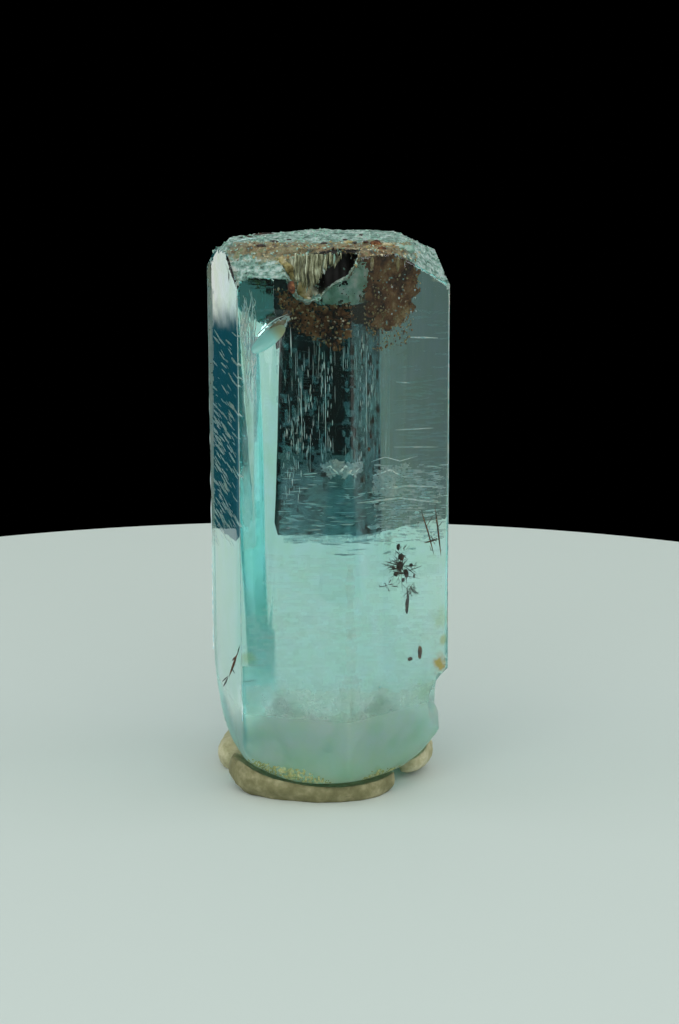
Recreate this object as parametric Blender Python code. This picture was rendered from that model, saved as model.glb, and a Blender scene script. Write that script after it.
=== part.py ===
"""Etched aquamarine crystal held upright by three wads of mounting putty.

The crystal is one hexagonal prism of beryl. Its top has a basal plane, six pyramid planes over the prism
faces and six over the corners, eaten by an etch pit at the front. Its foot is rounded off by dissolution
and chipped at one corner. Each wad of putty is pressed against the foot and is flat underneath.
"""
import math

import bmesh
import bpy
from mathutils import Matrix, Vector, noise

MM = 0.001

# Prism cross section. The corners run counter-clockwise seen from above, from the left rear one, and the
# faces between them are left, front, right, right rear, rear and left rear.
LEFT_SIDE = 9.4 * MM
FRONT_SIDE = 6.7 * MM
RIGHT_SIDE = 8.1 * MM
REAR_SIDE = 7.0 * MM
FRONT_TURN = math.radians(-16.8)

# Heights above the surface that the putty stands on.
CRYSTAL_TOP = 33.0 * MM
CRYSTAL_FOOT = 0.5 * MM

# Beryl's ratio of axis lengths, c to a, fixes the slopes of its pyramid planes.
AXIAL_RATIO = 0.4989
FACE_PYRAMID_SLOPE = math.atan(AXIAL_RATIO * 2.0 / math.sqrt(3.0))
CORNER_PYRAMID_SLOPE = math.atan(AXIAL_RATIO * 2.0)

# Height at which each face's and each corner's upper pyramid plane leaves the prism.
FACE_SHOULDERS = [32.5 * MM, 32.8 * MM, 32.7 * MM, 32.2 * MM, 31.9 * MM, 31.8 * MM]
CORNER_SHOULDERS = [31.0 * MM, 31.1 * MM, 32.7 * MM, 30.5 * MM, 31.2 * MM, 30.9 * MM]

# The front pyramid plane is eaten away by the pit to the right of this place, so it stops there.
FRONT_PYRAMID_SHOULDER = 31.4 * MM
FRONT_PYRAMID_END = -0.4 * MM

# The dissolved foot is a bowl: a squarish ellipsoid about a centre, with a half width, a half breadth and a
# depth, and an exponent that sets how square its shoulder is.
BOWL_CENTRE = Vector((0.1 * MM, -1.1 * MM, 9.0 * MM))
BOWL_HALF_WIDTH = 7.85 * MM
BOWL_HALF_BREADTH = 10.2 * MM
BOWL_DEPTH = BOWL_CENTRE.z - CRYSTAL_FOOT
BOWL_EXPONENT = 3.0

# The chipped corner at the right: a hollow broken out of the edge, and a rounded knob left below it.
CHIP_CENTRE = Vector((8.2 * MM, -3.0 * MM, 5.2 * MM))
CHIP_RADII = (2.2 * MM, 3.9 * MM, 2.3 * MM)
KNOB_CENTRE = Vector((5.95 * MM, -2.1 * MM, 4.1 * MM))
KNOB_RADII = (0.85 * MM, 1.1 * MM, 0.95 * MM)

# Relief left by etching, on a grid of small cells above and below the plain stretch of the prism. The foot's
# relief grows from nothing at its upper limit to its full depth at this share of the way down.
ETCHED_TOP_FROM = 30.2 * MM
DISSOLVED_FOOT_TO = 8.2 * MM
DISSOLVED_FULLY_AT = 0.6
CELL = 0.75 * MM
ETCH_DEPTH = 0.14 * MM
ETCH_SIZE = 1.3 * MM
DISSOLVED_DEPTH = 0.42 * MM
DISSOLVED_SIZE = 2.1 * MM

# Etch pit at the front corner: its opening as x and z in the front view, and the place of its rear wall.
PIT_OPENING = [
    (-2.65 * MM, 34.0 * MM),
    (-2.6 * MM, 32.3 * MM),
    (-1.95 * MM, 31.1 * MM),
    (-1.55 * MM, 30.3 * MM),
    (-1.0 * MM, 30.1 * MM),
    (-0.3 * MM, 30.4 * MM),
    (0.35 * MM, 31.1 * MM),
    (1.15 * MM, 31.5 * MM),
    (1.6 * MM, 32.1 * MM),
    (1.95 * MM, 32.9 * MM),
    (1.95 * MM, 34.0 * MM),
]
PIT_REAR_WALL = -5.3 * MM
PIT_CUT_FROM = -10.0 * MM

# The cave that leads on from the pit under the basal plane: centre, radius, floor and roof.
CAVE_CENTRE = (0.75 * MM, -5.0 * MM)
CAVE_RADIUS = 1.35 * MM
CAVE_FLOOR = 30.0 * MM
CAVE_ROOF = 32.55 * MM

# Shell-shaped break in the front face below the pit: centre, radii and lean.
SHELL_CENTRE = Vector((-3.35 * MM, -7.02 * MM, 27.9 * MM))
SHELL_RADII = (1.45 * MM, 0.45 * MM, 0.5 * MM)
SHELL_LEAN = math.radians(-38.0)

# Small hexagonal etch pits along the front rim of the basal plane: x, y and radius.
RIM_PITS = [
    (-3.9 * MM, -3.5 * MM, 0.22 * MM),
    (-3.15 * MM, -2.6 * MM, 0.42 * MM),
    (-2.3 * MM, -1.3 * MM, 0.22 * MM),
    (-0.2 * MM, -3.2 * MM, 0.28 * MM),
    (1.05 * MM, -1.3 * MM, 0.32 * MM),
    (1.65 * MM, -2.9 * MM, 0.24 * MM),
    (2.3 * MM, -2.3 * MM, 0.26 * MM),
    (2.0 * MM, 1.4 * MM, 0.2 * MM),
]
RIM_PIT_DEPTH = 0.7 * MM
RIM_PIT_CUT_ABOVE = 1.0 * MM
WELL_FLOOR_SHARE = 0.8

# Putty. Each wad is swept along a low path of x, y, centre height and radius.
SEAT_GAP = 0.3 * MM
FRONT_ROLL_PATH = [
    (-5.3 * MM, -2.3 * MM, 1.1 * MM, 0.95 * MM),
    (-4.9 * MM, -3.4 * MM, 1.2 * MM, 1.25 * MM),
    (-3.7 * MM, -4.6 * MM, 1.1 * MM, 1.35 * MM),
    (-2.0 * MM, -5.3 * MM, 0.95 * MM, 1.3 * MM),
    (-0.3 * MM, -5.6 * MM, 0.85 * MM, 1.2 * MM),
    (1.3 * MM, -5.45 * MM, 0.8 * MM, 1.1 * MM),
    (2.7 * MM, -4.75 * MM, 0.7 * MM, 1.0 * MM),
    (3.8 * MM, -3.8 * MM, 0.6 * MM, 0.8 * MM),
]
LEFT_WAD_PATH = [
    (-5.75 * MM, -0.5 * MM, 0.8 * MM, 0.8 * MM),
    (-5.8 * MM, 1.0 * MM, 0.95 * MM, 1.1 * MM),
    (-5.2 * MM, 3.1 * MM, 0.95 * MM, 1.1 * MM),
    (-3.9 * MM, 4.8 * MM, 0.7 * MM, 0.9 * MM),
]
RIGHT_WAD_PATH = [
    (4.5 * MM, -2.45 * MM, 0.95 * MM, 0.85 * MM),
    (5.0 * MM, -1.4 * MM, 1.4 * MM, 1.15 * MM),
    (5.2 * MM, 0.4 * MM, 1.3 * MM, 1.25 * MM),
    (4.5 * MM, 3.0 * MM, 0.9 * MM, 1.05 * MM),
    (3.1 * MM, 4.8 * MM, 0.7 * MM, 0.85 * MM),
]
PUTTY_RINGS = 30
PUTTY_SIDES = 22
PUTTY_LUMP = 0.13 * MM
PUTTY_LUMP_SIZE = 1.1 * MM
PUTTY_END_REACH = 0.25
PUTTY_END_FULLNESS = 1.35
PUTTY_CREASE = math.radians(50.0)

# Colours as linear red, green and blue.
CRYSTAL_COLOUR = (0.34, 0.66, 0.66, 1.0)
PUTTY_COLOUR = (0.42, 0.40, 0.27, 1.0)


def clear_scene():
    """Remove the objects of the start-up scene."""
    for old in list(bpy.data.objects):
        bpy.data.objects.remove(old, do_unlink=True)


def surface_material(name, colour, roughness, transmission=0.0):
    """A plain Principled material."""
    material = bpy.data.materials.new(name)
    material.use_nodes = True
    shader = material.node_tree.nodes["Principled BSDF"]
    shader.inputs["Base Color"].default_value = colour
    shader.inputs["Roughness"].default_value = roughness
    shader.inputs["Metallic"].default_value = 0.0
    shader.inputs["Transmission Weight"].default_value = transmission
    shader.inputs["IOR"].default_value = 1.577 if transmission else 1.45
    return material


def link_object(name, mesh):
    """Put a mesh in the scene as one named object."""
    item = bpy.data.objects.new(name, mesh)
    bpy.context.scene.collection.objects.link(item)
    return item


def prism_corners():
    """The six corners of the cross section, centred on their bounding box."""
    right_rear_side = LEFT_SIDE + FRONT_SIDE - REAR_SIDE
    sides = [LEFT_SIDE, FRONT_SIDE, RIGHT_SIDE, right_rear_side, REAR_SIDE]
    corner = Vector((0.0, 0.0))
    corners = [corner]
    for number, side in enumerate(sides):
        heading = FRONT_TURN + math.radians(60.0) * (number - 1)
        corner = corner + side * Vector((math.cos(heading), math.sin(heading)))
        corners.append(corner)
    middle_x = (min(c.x for c in corners) + max(c.x for c in corners)) / 2.0
    middle_y = (min(c.y for c in corners) + max(c.y for c in corners)) / 2.0
    return [c - Vector((middle_x, middle_y)) for c in corners]


def tilted_plane(azimuth, slope, point):
    """A plane through a point, facing an azimuth, that rises at a slope towards the crystal's axis."""
    flat = Vector((math.cos(azimuth), math.sin(azimuth), 0.0))
    normal = flat * math.sin(slope) + Vector((0.0, 0.0, math.cos(slope)))
    return point, normal


def crystal_planes():
    """Every plane of the crystal as a point and an outward normal."""
    planes = [
        (Vector((0.0, 0.0, CRYSTAL_TOP)), Vector((0.0, 0.0, 1.0))),
        (Vector((0.0, 0.0, CRYSTAL_FOOT)), Vector((0.0, 0.0, -1.0))),
    ]
    for number, corner in enumerate(prism_corners()):
        outward = FRONT_TURN + math.radians(60.0) * (number - 1) - math.radians(90.0)
        flat = Vector((math.cos(outward), math.sin(outward), 0.0))
        planes.append((corner.to_3d(), flat))
        shoulder = Vector((corner.x, corner.y, FACE_SHOULDERS[number]))
        planes.append(tilted_plane(outward, FACE_PYRAMID_SLOPE, shoulder))
        toward_corner = outward - math.radians(30.0)
        shoulder = Vector((corner.x, corner.y, CORNER_SHOULDERS[number]))
        planes.append(tilted_plane(toward_corner, CORNER_PYRAMID_SLOPE, shoulder))
    return planes


def fill_cut(form, cut):
    """Close the hole that a cutting plane left."""
    rim = [part for part in cut["geom_cut"] if isinstance(part, bmesh.types.BMEdge)]
    if rim:
        bmesh.ops.edgeloop_fill(form, edges=rim)


def crystal_form(margin):
    """The crystal between its planes, with its foot rounded, grown outward by a margin."""
    form = bmesh.new()
    bmesh.ops.create_cube(form, size=4.0 * CRYSTAL_TOP)
    for point, normal in crystal_planes():
        everything = form.verts[:] + form.edges[:] + form.faces[:]
        cut = bmesh.ops.bisect_plane(
            form,
            geom=everything,
            plane_co=point + normal * margin,
            plane_no=normal,
            clear_outer=True,
        )
        fill_cut(form, cut)
    bmesh.ops.recalc_face_normals(form, faces=form.faces)
    cut_cells(form, ETCHED_TOP_FROM, CRYSTAL_TOP + CELL)
    cut_cells(form, 0.0, DISSOLVED_FOOT_TO)
    bmesh.ops.triangulate(form, faces=form.faces)
    for vert in form.verts:
        vert.co = rounded_foot(vert.co, margin)
    return form


def rounded_foot(place, margin):
    """A place on the prism, drawn in to the bowl of the foot where it lies outside it."""
    offset = place - BOWL_CENTRE
    if offset.z > 0.0:
        return place
    sideways = offset.x / (BOWL_HALF_WIDTH + margin)
    forward = offset.y / (BOWL_HALF_BREADTH + margin)
    across = math.hypot(sideways, forward)
    down = -offset.z / (BOWL_DEPTH + margin)
    measure = (across**BOWL_EXPONENT + down**BOWL_EXPONENT) ** (1.0 / BOWL_EXPONENT)
    return BOWL_CENTRE + offset / max(measure, 1.0)


def cut_across(form, faces, place, normal):
    """Cut some of a form's faces along a plane, and keep both sides."""
    edges = list({e for f in faces for e in f.edges})
    verts = list({v for f in faces for v in f.verts})
    bmesh.ops.bisect_plane(form, geom=verts + edges + faces, plane_co=place, plane_no=normal)


def cut_cells(form, low, high):
    """Cut the part of a form between two heights into cells, along all three axes."""
    up = Vector((0.0, 0.0, 1.0))
    for height in (low, high):
        cut_across(form, form.faces[:], up * height, up)
    for axis in (Vector((1.0, 0.0, 0.0)), Vector((0.0, 1.0, 0.0)), up):
        reaches = [v.co.dot(axis) for v in form.verts]
        start, stop = min(reaches), max(reaches)
        if axis is up:
            start, stop = max(start, low), min(stop, high)
        count = round((stop - start) / CELL)
        for step in range(1, count):
            faces = [f for f in form.faces if low < f.calc_center_median().z < high]
            cut_across(form, faces, axis * (start + (stop - start) * step / count), axis)


def relief(place, depth, size):
    """How far the surface has dissolved inward at a place."""
    broad = 0.5 + 0.5 * noise.noise(place / size)
    fine = 0.5 + 0.5 * noise.noise(place / (size * 0.4) + Vector((7.0, 3.0, 5.0)))
    return depth * (0.65 * broad + 0.35 * fine)


def etch(form):
    """Lower the pyramid and basal planes a little at the top, and the foot more strongly."""
    form.normal_update()
    moves = []
    for vert in form.verts:
        sloping = max(abs(face.normal.z) for face in vert.link_faces)
        if vert.co.z > ETCHED_TOP_FROM and sloping > 0.05:
            moves.append((vert, relief(vert.co, ETCH_DEPTH, ETCH_SIZE)))
        elif vert.co.z < DISSOLVED_FOOT_TO:
            share = min(1.0, (DISSOLVED_FOOT_TO - vert.co.z) / (DISSOLVED_FULLY_AT * DISSOLVED_FOOT_TO))
            moves.append((vert, share * share * relief(vert.co, DISSOLVED_DEPTH, DISSOLVED_SIZE)))
    for vert, inward in moves:
        vert.co = vert.co - vert.normal * inward


def hexagonal_well(cutter, x, y, radius, floor, roof):
    """Add one upright hexagonal well, parallel to the prism's own faces, to a cutter."""
    place = Matrix.Translation((x, y, (floor + roof) / 2.0))
    turn = Matrix.Rotation(FRONT_TURN, 4, "Z")
    bmesh.ops.create_cone(
        cutter,
        cap_ends=True,
        segments=6,
        radius1=radius * WELL_FLOOR_SHARE,
        radius2=radius,
        depth=roof - floor,
        matrix=place @ turn,
    )


def ellipsoid(cutter, centre, radii, turn):
    """Add one ellipsoid to a cutter."""
    scale = Matrix.Diagonal((radii[0], radii[1], radii[2], 1.0))
    bmesh.ops.create_icosphere(
        cutter,
        subdivisions=3,
        radius=1.0,
        matrix=Matrix.Translation(centre) @ turn @ scale,
    )


def fill_front_pyramid(cutter):
    """The wedge above the front pyramid plane, from the left to where the pit begins."""
    left_corner = prism_corners()[1]
    reach = FRONT_SIDE
    height = 2.0 * (CRYSTAL_TOP - FRONT_PYRAMID_SHOULDER)
    run = height / math.tan(FACE_PYRAMID_SLOPE)
    profile = [(-reach, 0.0), (-reach, height), (run, height), (0.0, 0.0)]
    along = Vector((math.cos(FRONT_TURN), math.sin(FRONT_TURN), 0.0))
    inward = Vector((-math.sin(FRONT_TURN), math.cos(FRONT_TURN), 0.0))
    start = Vector((left_corner.x, left_corner.y, FRONT_PYRAMID_SHOULDER)) - along * reach
    length = (FRONT_PYRAMID_END - left_corner.x) / along.x + reach
    ring = [cutter.verts.new(start + inward * depth + Vector((0.0, 0.0, rise))) for depth, rise in profile]
    face = cutter.faces.new(ring)
    grown = bmesh.ops.extrude_face_region(cutter, geom=[face])
    moved = [part for part in grown["geom"] if isinstance(part, bmesh.types.BMVert)]
    bmesh.ops.translate(cutter, verts=moved, vec=along * length)
    bmesh.ops.recalc_face_normals(cutter, faces=cutter.faces)


def fill_pit(cutter):
    """The pit's opening, run back from in front of the crystal to its rear wall."""
    ring = [cutter.verts.new((x, PIT_CUT_FROM, z)) for x, z in PIT_OPENING]
    face = cutter.faces.new(ring)
    grown = bmesh.ops.extrude_face_region(cutter, geom=[face])
    moved = [part for part in grown["geom"] if isinstance(part, bmesh.types.BMVert)]
    bmesh.ops.translate(cutter, verts=moved, vec=(0.0, PIT_REAR_WALL - PIT_CUT_FROM, 0.0))
    bmesh.ops.recalc_face_normals(cutter, faces=cutter.faces)


def fill_cave(cutter):
    """The cave behind the pit."""
    hexagonal_well(cutter, *CAVE_CENTRE, CAVE_RADIUS, CAVE_FLOOR, CAVE_ROOF)


def fill_rim_pits(cutter):
    """All the small rim pits as one cutter of separate wells."""
    for x, y, radius in RIM_PITS:
        hexagonal_well(
            cutter, x, y, radius, CRYSTAL_TOP - RIM_PIT_DEPTH, CRYSTAL_TOP + RIM_PIT_CUT_ABOVE
        )


def fill_shell_break(cutter):
    """The shell-shaped break, a leaning ellipsoid parallel to the front face."""
    turn = Matrix.Rotation(FRONT_TURN, 4, "Z") @ Matrix.Rotation(SHELL_LEAN, 4, "Y")
    ellipsoid(cutter, SHELL_CENTRE, SHELL_RADII, turn)


def fill_chip(cutter):
    """The hollow broken out of the right corner's foot."""
    ellipsoid(cutter, CHIP_CENTRE, CHIP_RADII, Matrix.Identity(4))


def fill_knob(cutter):
    """The knob that stands in the hollow."""
    ellipsoid(cutter, KNOB_CENTRE, KNOB_RADII, Matrix.Identity(4))


def combine(target, name, fill, operation):
    """Make a hidden shape with a fill function and join it to the target or cut it away."""
    shape = bmesh.new()
    fill(shape)
    mesh = bpy.data.meshes.new(name)
    shape.to_mesh(mesh)
    shape.free()
    item = link_object(name, mesh)
    item.hide_render = True
    item.display_type = "WIRE"
    step = target.modifiers.new(name, "BOOLEAN")
    step.operation = operation
    step.solver = "EXACT"
    step.object = item


def build_crystal():
    """The crystal: its etched form less its pits and breaks, with the knob at its foot."""
    form = crystal_form(0.0)
    etch(form)
    mesh = bpy.data.meshes.new("aquamarine_crystal")
    form.to_mesh(mesh)
    form.free()
    mesh.materials.append(surface_material("aquamarine", CRYSTAL_COLOUR, 0.08, transmission=1.0))
    crystal = link_object("aquamarine_crystal", mesh)
    combine(crystal, "front_pyramid", fill_front_pyramid, "DIFFERENCE")
    combine(crystal, "pit", fill_pit, "DIFFERENCE")
    combine(crystal, "cave", fill_cave, "DIFFERENCE")
    combine(crystal, "rim_pits", fill_rim_pits, "DIFFERENCE")
    combine(crystal, "shell_break", fill_shell_break, "DIFFERENCE")
    combine(crystal, "chip", fill_chip, "DIFFERENCE")
    combine(crystal, "knob", fill_knob, "UNION")


def path_point(path, share):
    """A point and radius on a smooth curve through the path's points."""
    place = share * (len(path) - 1)
    start = min(int(place), len(path) - 2)
    part = place - start
    before = Vector(path[max(start - 1, 0)])
    here = Vector(path[start])
    there = Vector(path[start + 1])
    after = Vector(path[min(start + 2, len(path) - 1)])
    slope_here = (there - before) / 2.0
    slope_there = (after - here) / 2.0
    square = part * part
    cube = square * part
    result = here * (2.0 * cube - 3.0 * square + 1.0)
    result += slope_here * (cube - 2.0 * square + part)
    result += there * (3.0 * square - 2.0 * cube)
    result += slope_there * (cube - square)
    return Vector(result[:3]), result[3]


def swept_wad(path):
    """A lumpy roll of putty with rounded ends, swept along a path."""
    form = bmesh.new()
    rings = []
    for ring in range(PUTTY_RINGS + 1):
        turn = math.pi * ring / PUTTY_RINGS
        share = 0.5 - 0.5 * math.cos(turn)
        centre, radius = path_point(path, share)
        ahead, _ = path_point(path, min(share + 0.01, 1.0))
        behind, _ = path_point(path, max(share - 0.01, 0.0))
        along = (ahead - behind).normalized()
        side = along.cross(Vector((0.0, 0.0, 1.0))).normalized()
        up = side.cross(along)
        if ring in (0, PUTTY_RINGS):
            reach = PUTTY_END_REACH * radius * (1.0 if ring else -1.0)
            rings.append([form.verts.new(centre + along * reach)])
            continue
        swell = math.sqrt(min(1.0, PUTTY_END_FULLNESS * math.sin(turn)))
        circle = []
        for number in range(PUTTY_SIDES):
            angle = 2.0 * math.pi * number / PUTTY_SIDES
            spoke = side * math.cos(angle) + up * math.sin(angle)
            place = centre + spoke * radius * swell
            lump = PUTTY_LUMP * noise.noise(place / PUTTY_LUMP_SIZE)
            circle.append(form.verts.new(place + spoke * lump))
        rings.append(circle)
    for first, second in zip(rings, rings[1:]):
        for number in range(PUTTY_SIDES):
            following = (number + 1) % PUTTY_SIDES
            corners = [
                first[number % len(first)],
                first[following % len(first)],
                second[following % len(second)],
                second[number % len(second)],
            ]
            form.faces.new(list(dict.fromkeys(corners)))
    return form


def build_wad(name, path, seat, material):
    """One wad of putty: swept, flat underneath, with the crystal's seat pressed into it."""
    form = swept_wad(path)
    everything = form.verts[:] + form.edges[:] + form.faces[:]
    ground = Vector((0.0, 0.0, 0.0))
    down = Vector((0.0, 0.0, -1.0))
    cut = bmesh.ops.bisect_plane(form, geom=everything, plane_co=ground, plane_no=down, clear_outer=True)
    fill_cut(form, cut)
    bmesh.ops.recalc_face_normals(form, faces=form.faces)
    mesh = bpy.data.meshes.new(name)
    form.to_mesh(mesh)
    form.free()
    mesh.shade_smooth()
    mesh.set_sharp_from_angle(angle=PUTTY_CREASE)
    mesh.materials.append(material)
    wad = link_object(name, mesh)
    press = wad.modifiers.new("seat", "BOOLEAN")
    press.operation = "DIFFERENCE"
    press.solver = "EXACT"
    press.object = seat


def build_seat():
    """The hidden cutter that presses the crystal's seat into the putty, a small gap outside the crystal."""
    form = crystal_form(SEAT_GAP)
    mesh = bpy.data.meshes.new("seat_cutter")
    form.to_mesh(mesh)
    form.free()
    seat = link_object("seat_cutter", mesh)
    seat.hide_render = True
    seat.display_type = "WIRE"
    return seat


def main():
    """Build the crystal and its three wads of putty."""
    clear_scene()
    build_crystal()
    seat = build_seat()
    paths = {
        "putty_front_roll": FRONT_ROLL_PATH,
        "putty_left_wad": LEFT_WAD_PATH,
        "putty_right_wad": RIGHT_WAD_PATH,
    }
    for name, path in paths.items():
        putty = surface_material(name, PUTTY_COLOUR, 0.75)
        build_wad(name, path, seat, putty)


main()
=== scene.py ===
"""Looks of an etched aquamarine crystal, held upright by three wads of mounting putty."""
import math
import random

import bmesh
import bpy
from mathutils import Matrix, Vector, noise
from mathutils.bvhtree import BVHTree


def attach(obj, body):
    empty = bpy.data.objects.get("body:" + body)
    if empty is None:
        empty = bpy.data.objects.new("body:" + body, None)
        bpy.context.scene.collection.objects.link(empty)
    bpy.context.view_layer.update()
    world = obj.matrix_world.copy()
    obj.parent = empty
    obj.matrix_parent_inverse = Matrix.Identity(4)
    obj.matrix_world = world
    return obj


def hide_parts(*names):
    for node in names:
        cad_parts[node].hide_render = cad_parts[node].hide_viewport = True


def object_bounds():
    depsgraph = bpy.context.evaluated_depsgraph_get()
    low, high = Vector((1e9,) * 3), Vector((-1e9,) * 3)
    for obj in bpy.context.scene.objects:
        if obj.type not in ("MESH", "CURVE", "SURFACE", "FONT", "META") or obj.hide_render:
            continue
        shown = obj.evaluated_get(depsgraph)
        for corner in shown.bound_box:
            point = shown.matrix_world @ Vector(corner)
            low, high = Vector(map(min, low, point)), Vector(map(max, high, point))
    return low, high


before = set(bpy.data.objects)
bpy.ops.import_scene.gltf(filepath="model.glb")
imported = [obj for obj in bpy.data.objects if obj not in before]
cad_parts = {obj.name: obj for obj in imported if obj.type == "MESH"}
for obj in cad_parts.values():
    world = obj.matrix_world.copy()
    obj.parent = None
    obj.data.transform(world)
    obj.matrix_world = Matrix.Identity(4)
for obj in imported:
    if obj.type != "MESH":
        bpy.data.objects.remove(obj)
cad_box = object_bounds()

# Camera: a little above the crystal's top and looking down at it, as in the photograph. It stands first,
# because stains and inclusions are placed by where it sees them in the crystal.
MM = 0.001
FRAME_WIDTH, FRAME_HEIGHT = 679.0, 1024.0
FOCAL_PIXELS = 2600.0
SENSOR_HEIGHT = 36.0
CAMERA_PLACE = Vector((0.738, -154.07, 49.70)) * MM
LOOKING_DOWN = Matrix.Rotation(math.radians(90.0 - 12.228), 3, "X")
LEANING = Matrix.Rotation(math.radians(-0.208), 3, "Z")
CAMERA_TURN = LOOKING_DOWN @ LEANING
NEAREST_SEEN = 5.0 * MM

camera_data = bpy.data.cameras.new("camera")
camera_data.sensor_fit = "VERTICAL"
camera_data.sensor_height = SENSOR_HEIGHT
camera_data.lens = FOCAL_PIXELS / FRAME_HEIGHT * SENSOR_HEIGHT
camera_data.clip_start = NEAREST_SEEN
camera = bpy.data.objects.new("camera", camera_data)
camera.location = CAMERA_PLACE
camera.rotation_euler = CAMERA_TURN.to_euler()
bpy.context.scene.collection.objects.link(camera)
bpy.context.scene.camera = camera


# Aquamarine crystal: one hexagonal prism of blue-green beryl, grown in a pocket and later etched by it.
# Its sides are bright growth faces with faint striae. Its crown is eaten into terraces, hillocks and a
# pit, and its foot is dissolved to a round, satin bowl.
BERYL_IOR = 1.577
BERYL_COLOUR = (0.10, 0.90, 0.935, 1.0)
COLOUR_DENSITY = 40.0
PRISM_TURN = -16.8 - 90.0
CROWN_FROM = 29.7 * MM
FOOT_TO = 8.4 * MM
CROWN_GRAIN = 0.26 * MM
FOOT_GRAIN = 0.42 * MM
WELD = 0.004 * MM
UPRIGHT_WITHIN = 0.01
TURNED_WITHIN = 0.8
TERRACE = 0.24 * MM
TERRACE_WAVE = 0.16 * MM
TERRACE_WAVE_LENGTH = 1.6 * MM
TREAD = 0.72
RISER = 0.28
STEEPNESS = 0.85
HILLOCK_DEPTH = 0.07 * MM
HILLOCK_SIZE = 0.28 * MM
FLUTE_DEPTH = 0.22 * MM
FLUTE_WIDTH = 0.3 * MM
FLUTE_LENGTH = 2.4 * MM
PIT_LOW = Vector((-3.3, -9.0, 29.7)) * MM
PIT_HIGH = Vector((2.3, -3.3, 32.85)) * MM
SHELL_CENTRE = Vector((-3.35, -7.02, 27.9)) * MM
SHELL_REACH = 1.8 * MM
CREASE = math.radians(28.0)
MEND_DEPTH = 0.26 * MM
MEND_WITHIN = 0.93
FOOT_ROUNDING = ((6.2 * MM, 2), (4.6 * MM, 4), (3.0 * MM, 6))
PIT_WALL_BELOW = 0.3
CAVE_HEART = (0.75, -5.0, 31.6)
SHELL_STAIN = (-2.75, -7.3, 28.35)
# Painted shade in the pit: near the cave's heart the wall is coloured near black, blending into the crust
# further out (distances in mm)
CAVE_SHADE_TO = 1.5
CAVE_CRUST_FROM = 2.0
PRISM_CORNERS = [
    (-7.207, 2.863),
    (-5.065, -6.245),
    (1.325, -8.170),
    (7.207, -2.640),
    (5.14, 6.151),
    (-1.563, 8.17),
]


def linear(code, alpha=1.0):
    """A colour given as an sRGB hex code, in the linear values that shaders take."""
    parts = [int(code[place : place + 2], 16) / 255.0 for place in (1, 3, 5)]
    return (*[p / 12.92 if p <= 0.04045 else ((p + 0.055) / 1.055) ** 2.4 for p in parts], alpha)


def add_node(tree, kind, inputs=None, **settings):
    """Add one node to a tree with settings, and set or link its inputs by identifier, name or number."""
    node = tree.nodes.new(kind)
    for name, value in settings.items():
        setattr(node, name, value)
    for name, value in (inputs or {}).items():
        fitting = [s for s in node.inputs if s.enabled and name in (s.identifier, s.name)]
        wanted = fitting[0] if fitting else node.inputs[name]
        if isinstance(value, bpy.types.NodeSocket):
            tree.links.new(value, wanted)
        else:
            wanted.default_value = value
    return node


def put_in_scene(name, mesh):
    """Make one named object of a mesh, at the origin."""
    piece = bpy.data.objects.new(name, mesh)
    bpy.context.scene.collection.objects.link(piece)
    return piece


def mesh_of(form, name):
    """Turn a finished form into a named mesh."""
    mesh = bpy.data.meshes.new(name)
    form.to_mesh(mesh)
    form.free()
    return mesh


def fix_to_root(piece, slot, *stands_for):
    """Let a finished piece ride with the specimen and stand for its CAD nodes. Its slot is not used."""
    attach(piece, "root")
    if stands_for:
        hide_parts(*stands_for)


def split_long_edges(form, low, high, longest):
    """Split the edges between two heights until none is longer than a grain of relief."""
    for _ in range(6):
        long_edges = [
            e
            for e in form.edges
            if e.calc_length() > longest and low < (e.verts[0].co.z + e.verts[1].co.z) / 2 < high
        ]
        if not long_edges:
            return
        bmesh.ops.subdivide_edges(form, edges=long_edges, cuts=1)
        bmesh.ops.triangulate(form, faces=[f for f in form.faces if len(f.verts) > 3])


def is_growth_face(face):
    """Whether a face lies in one of the six upright growth faces of the prism."""
    turn = math.degrees(math.atan2(face.normal.y, face.normal.x)) - PRISM_TURN
    beside = abs((turn + 30.0) % 60.0 - 30.0)
    return abs(face.normal.z) < UPRIGHT_WITHIN and beside < TURNED_WITHIN


def in_box(place, low, high):
    """Whether a place is inside a box."""
    return all(a <= c <= b for a, c, b in zip(low, place, high))


def surface_kind(face):
    """The kind of surface at a face: 0 bright or satin, 1 etched crown, 2 pit wall with painted shade in
    the cave, 3 shell break.
    """
    centre = face.calc_center_median()
    if is_growth_face(face):
        return 0
    if (centre - SHELL_CENTRE).length < SHELL_REACH:
        return 3
    if centre.z < CROWN_FROM:
        return 0
    return 2 if in_box(centre, PIT_LOW, PIT_HIGH) and face.normal.z < PIT_WALL_BELOW else 1


def terraced(height, wave):
    """A height drawn down to the tread of its growth step, with a short riser."""
    share = (height + wave) / TERRACE
    tread = math.floor(share)
    riser = min(1.0, max(0.0, (share - tread - TREAD) / RISER))
    return height - TERRACE * STEEPNESS * (share - tread - riser)


def etch_crown(form):
    """Give the crown its growth steps and hillocks, and the pit its flutes."""
    moves = []
    for vert in form.verts:
        kinds = {surface_kind(face) for face in vert.link_faces}
        if not kinds & {1, 2} or 0 in kinds:
            continue
        place = vert.co.copy()
        if 2 in kinds:
            across = Vector((place.x / FLUTE_WIDTH, place.y / FLUTE_WIDTH, place.z / FLUTE_LENGTH))
            place -= vert.normal * FLUTE_DEPTH * (0.5 + 0.5 * noise.noise(across))
        else:
            wave = TERRACE_WAVE * noise.noise(Vector((place.x, place.y, 0.0)) / TERRACE_WAVE_LENGTH)
            place.z = terraced(place.z, wave)
            place -= vert.normal * HILLOCK_DEPTH * (0.5 + noise.noise(place / HILLOCK_SIZE))
        moves.append((vert, place))
    for vert, place in moves:
        vert.co = place


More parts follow.
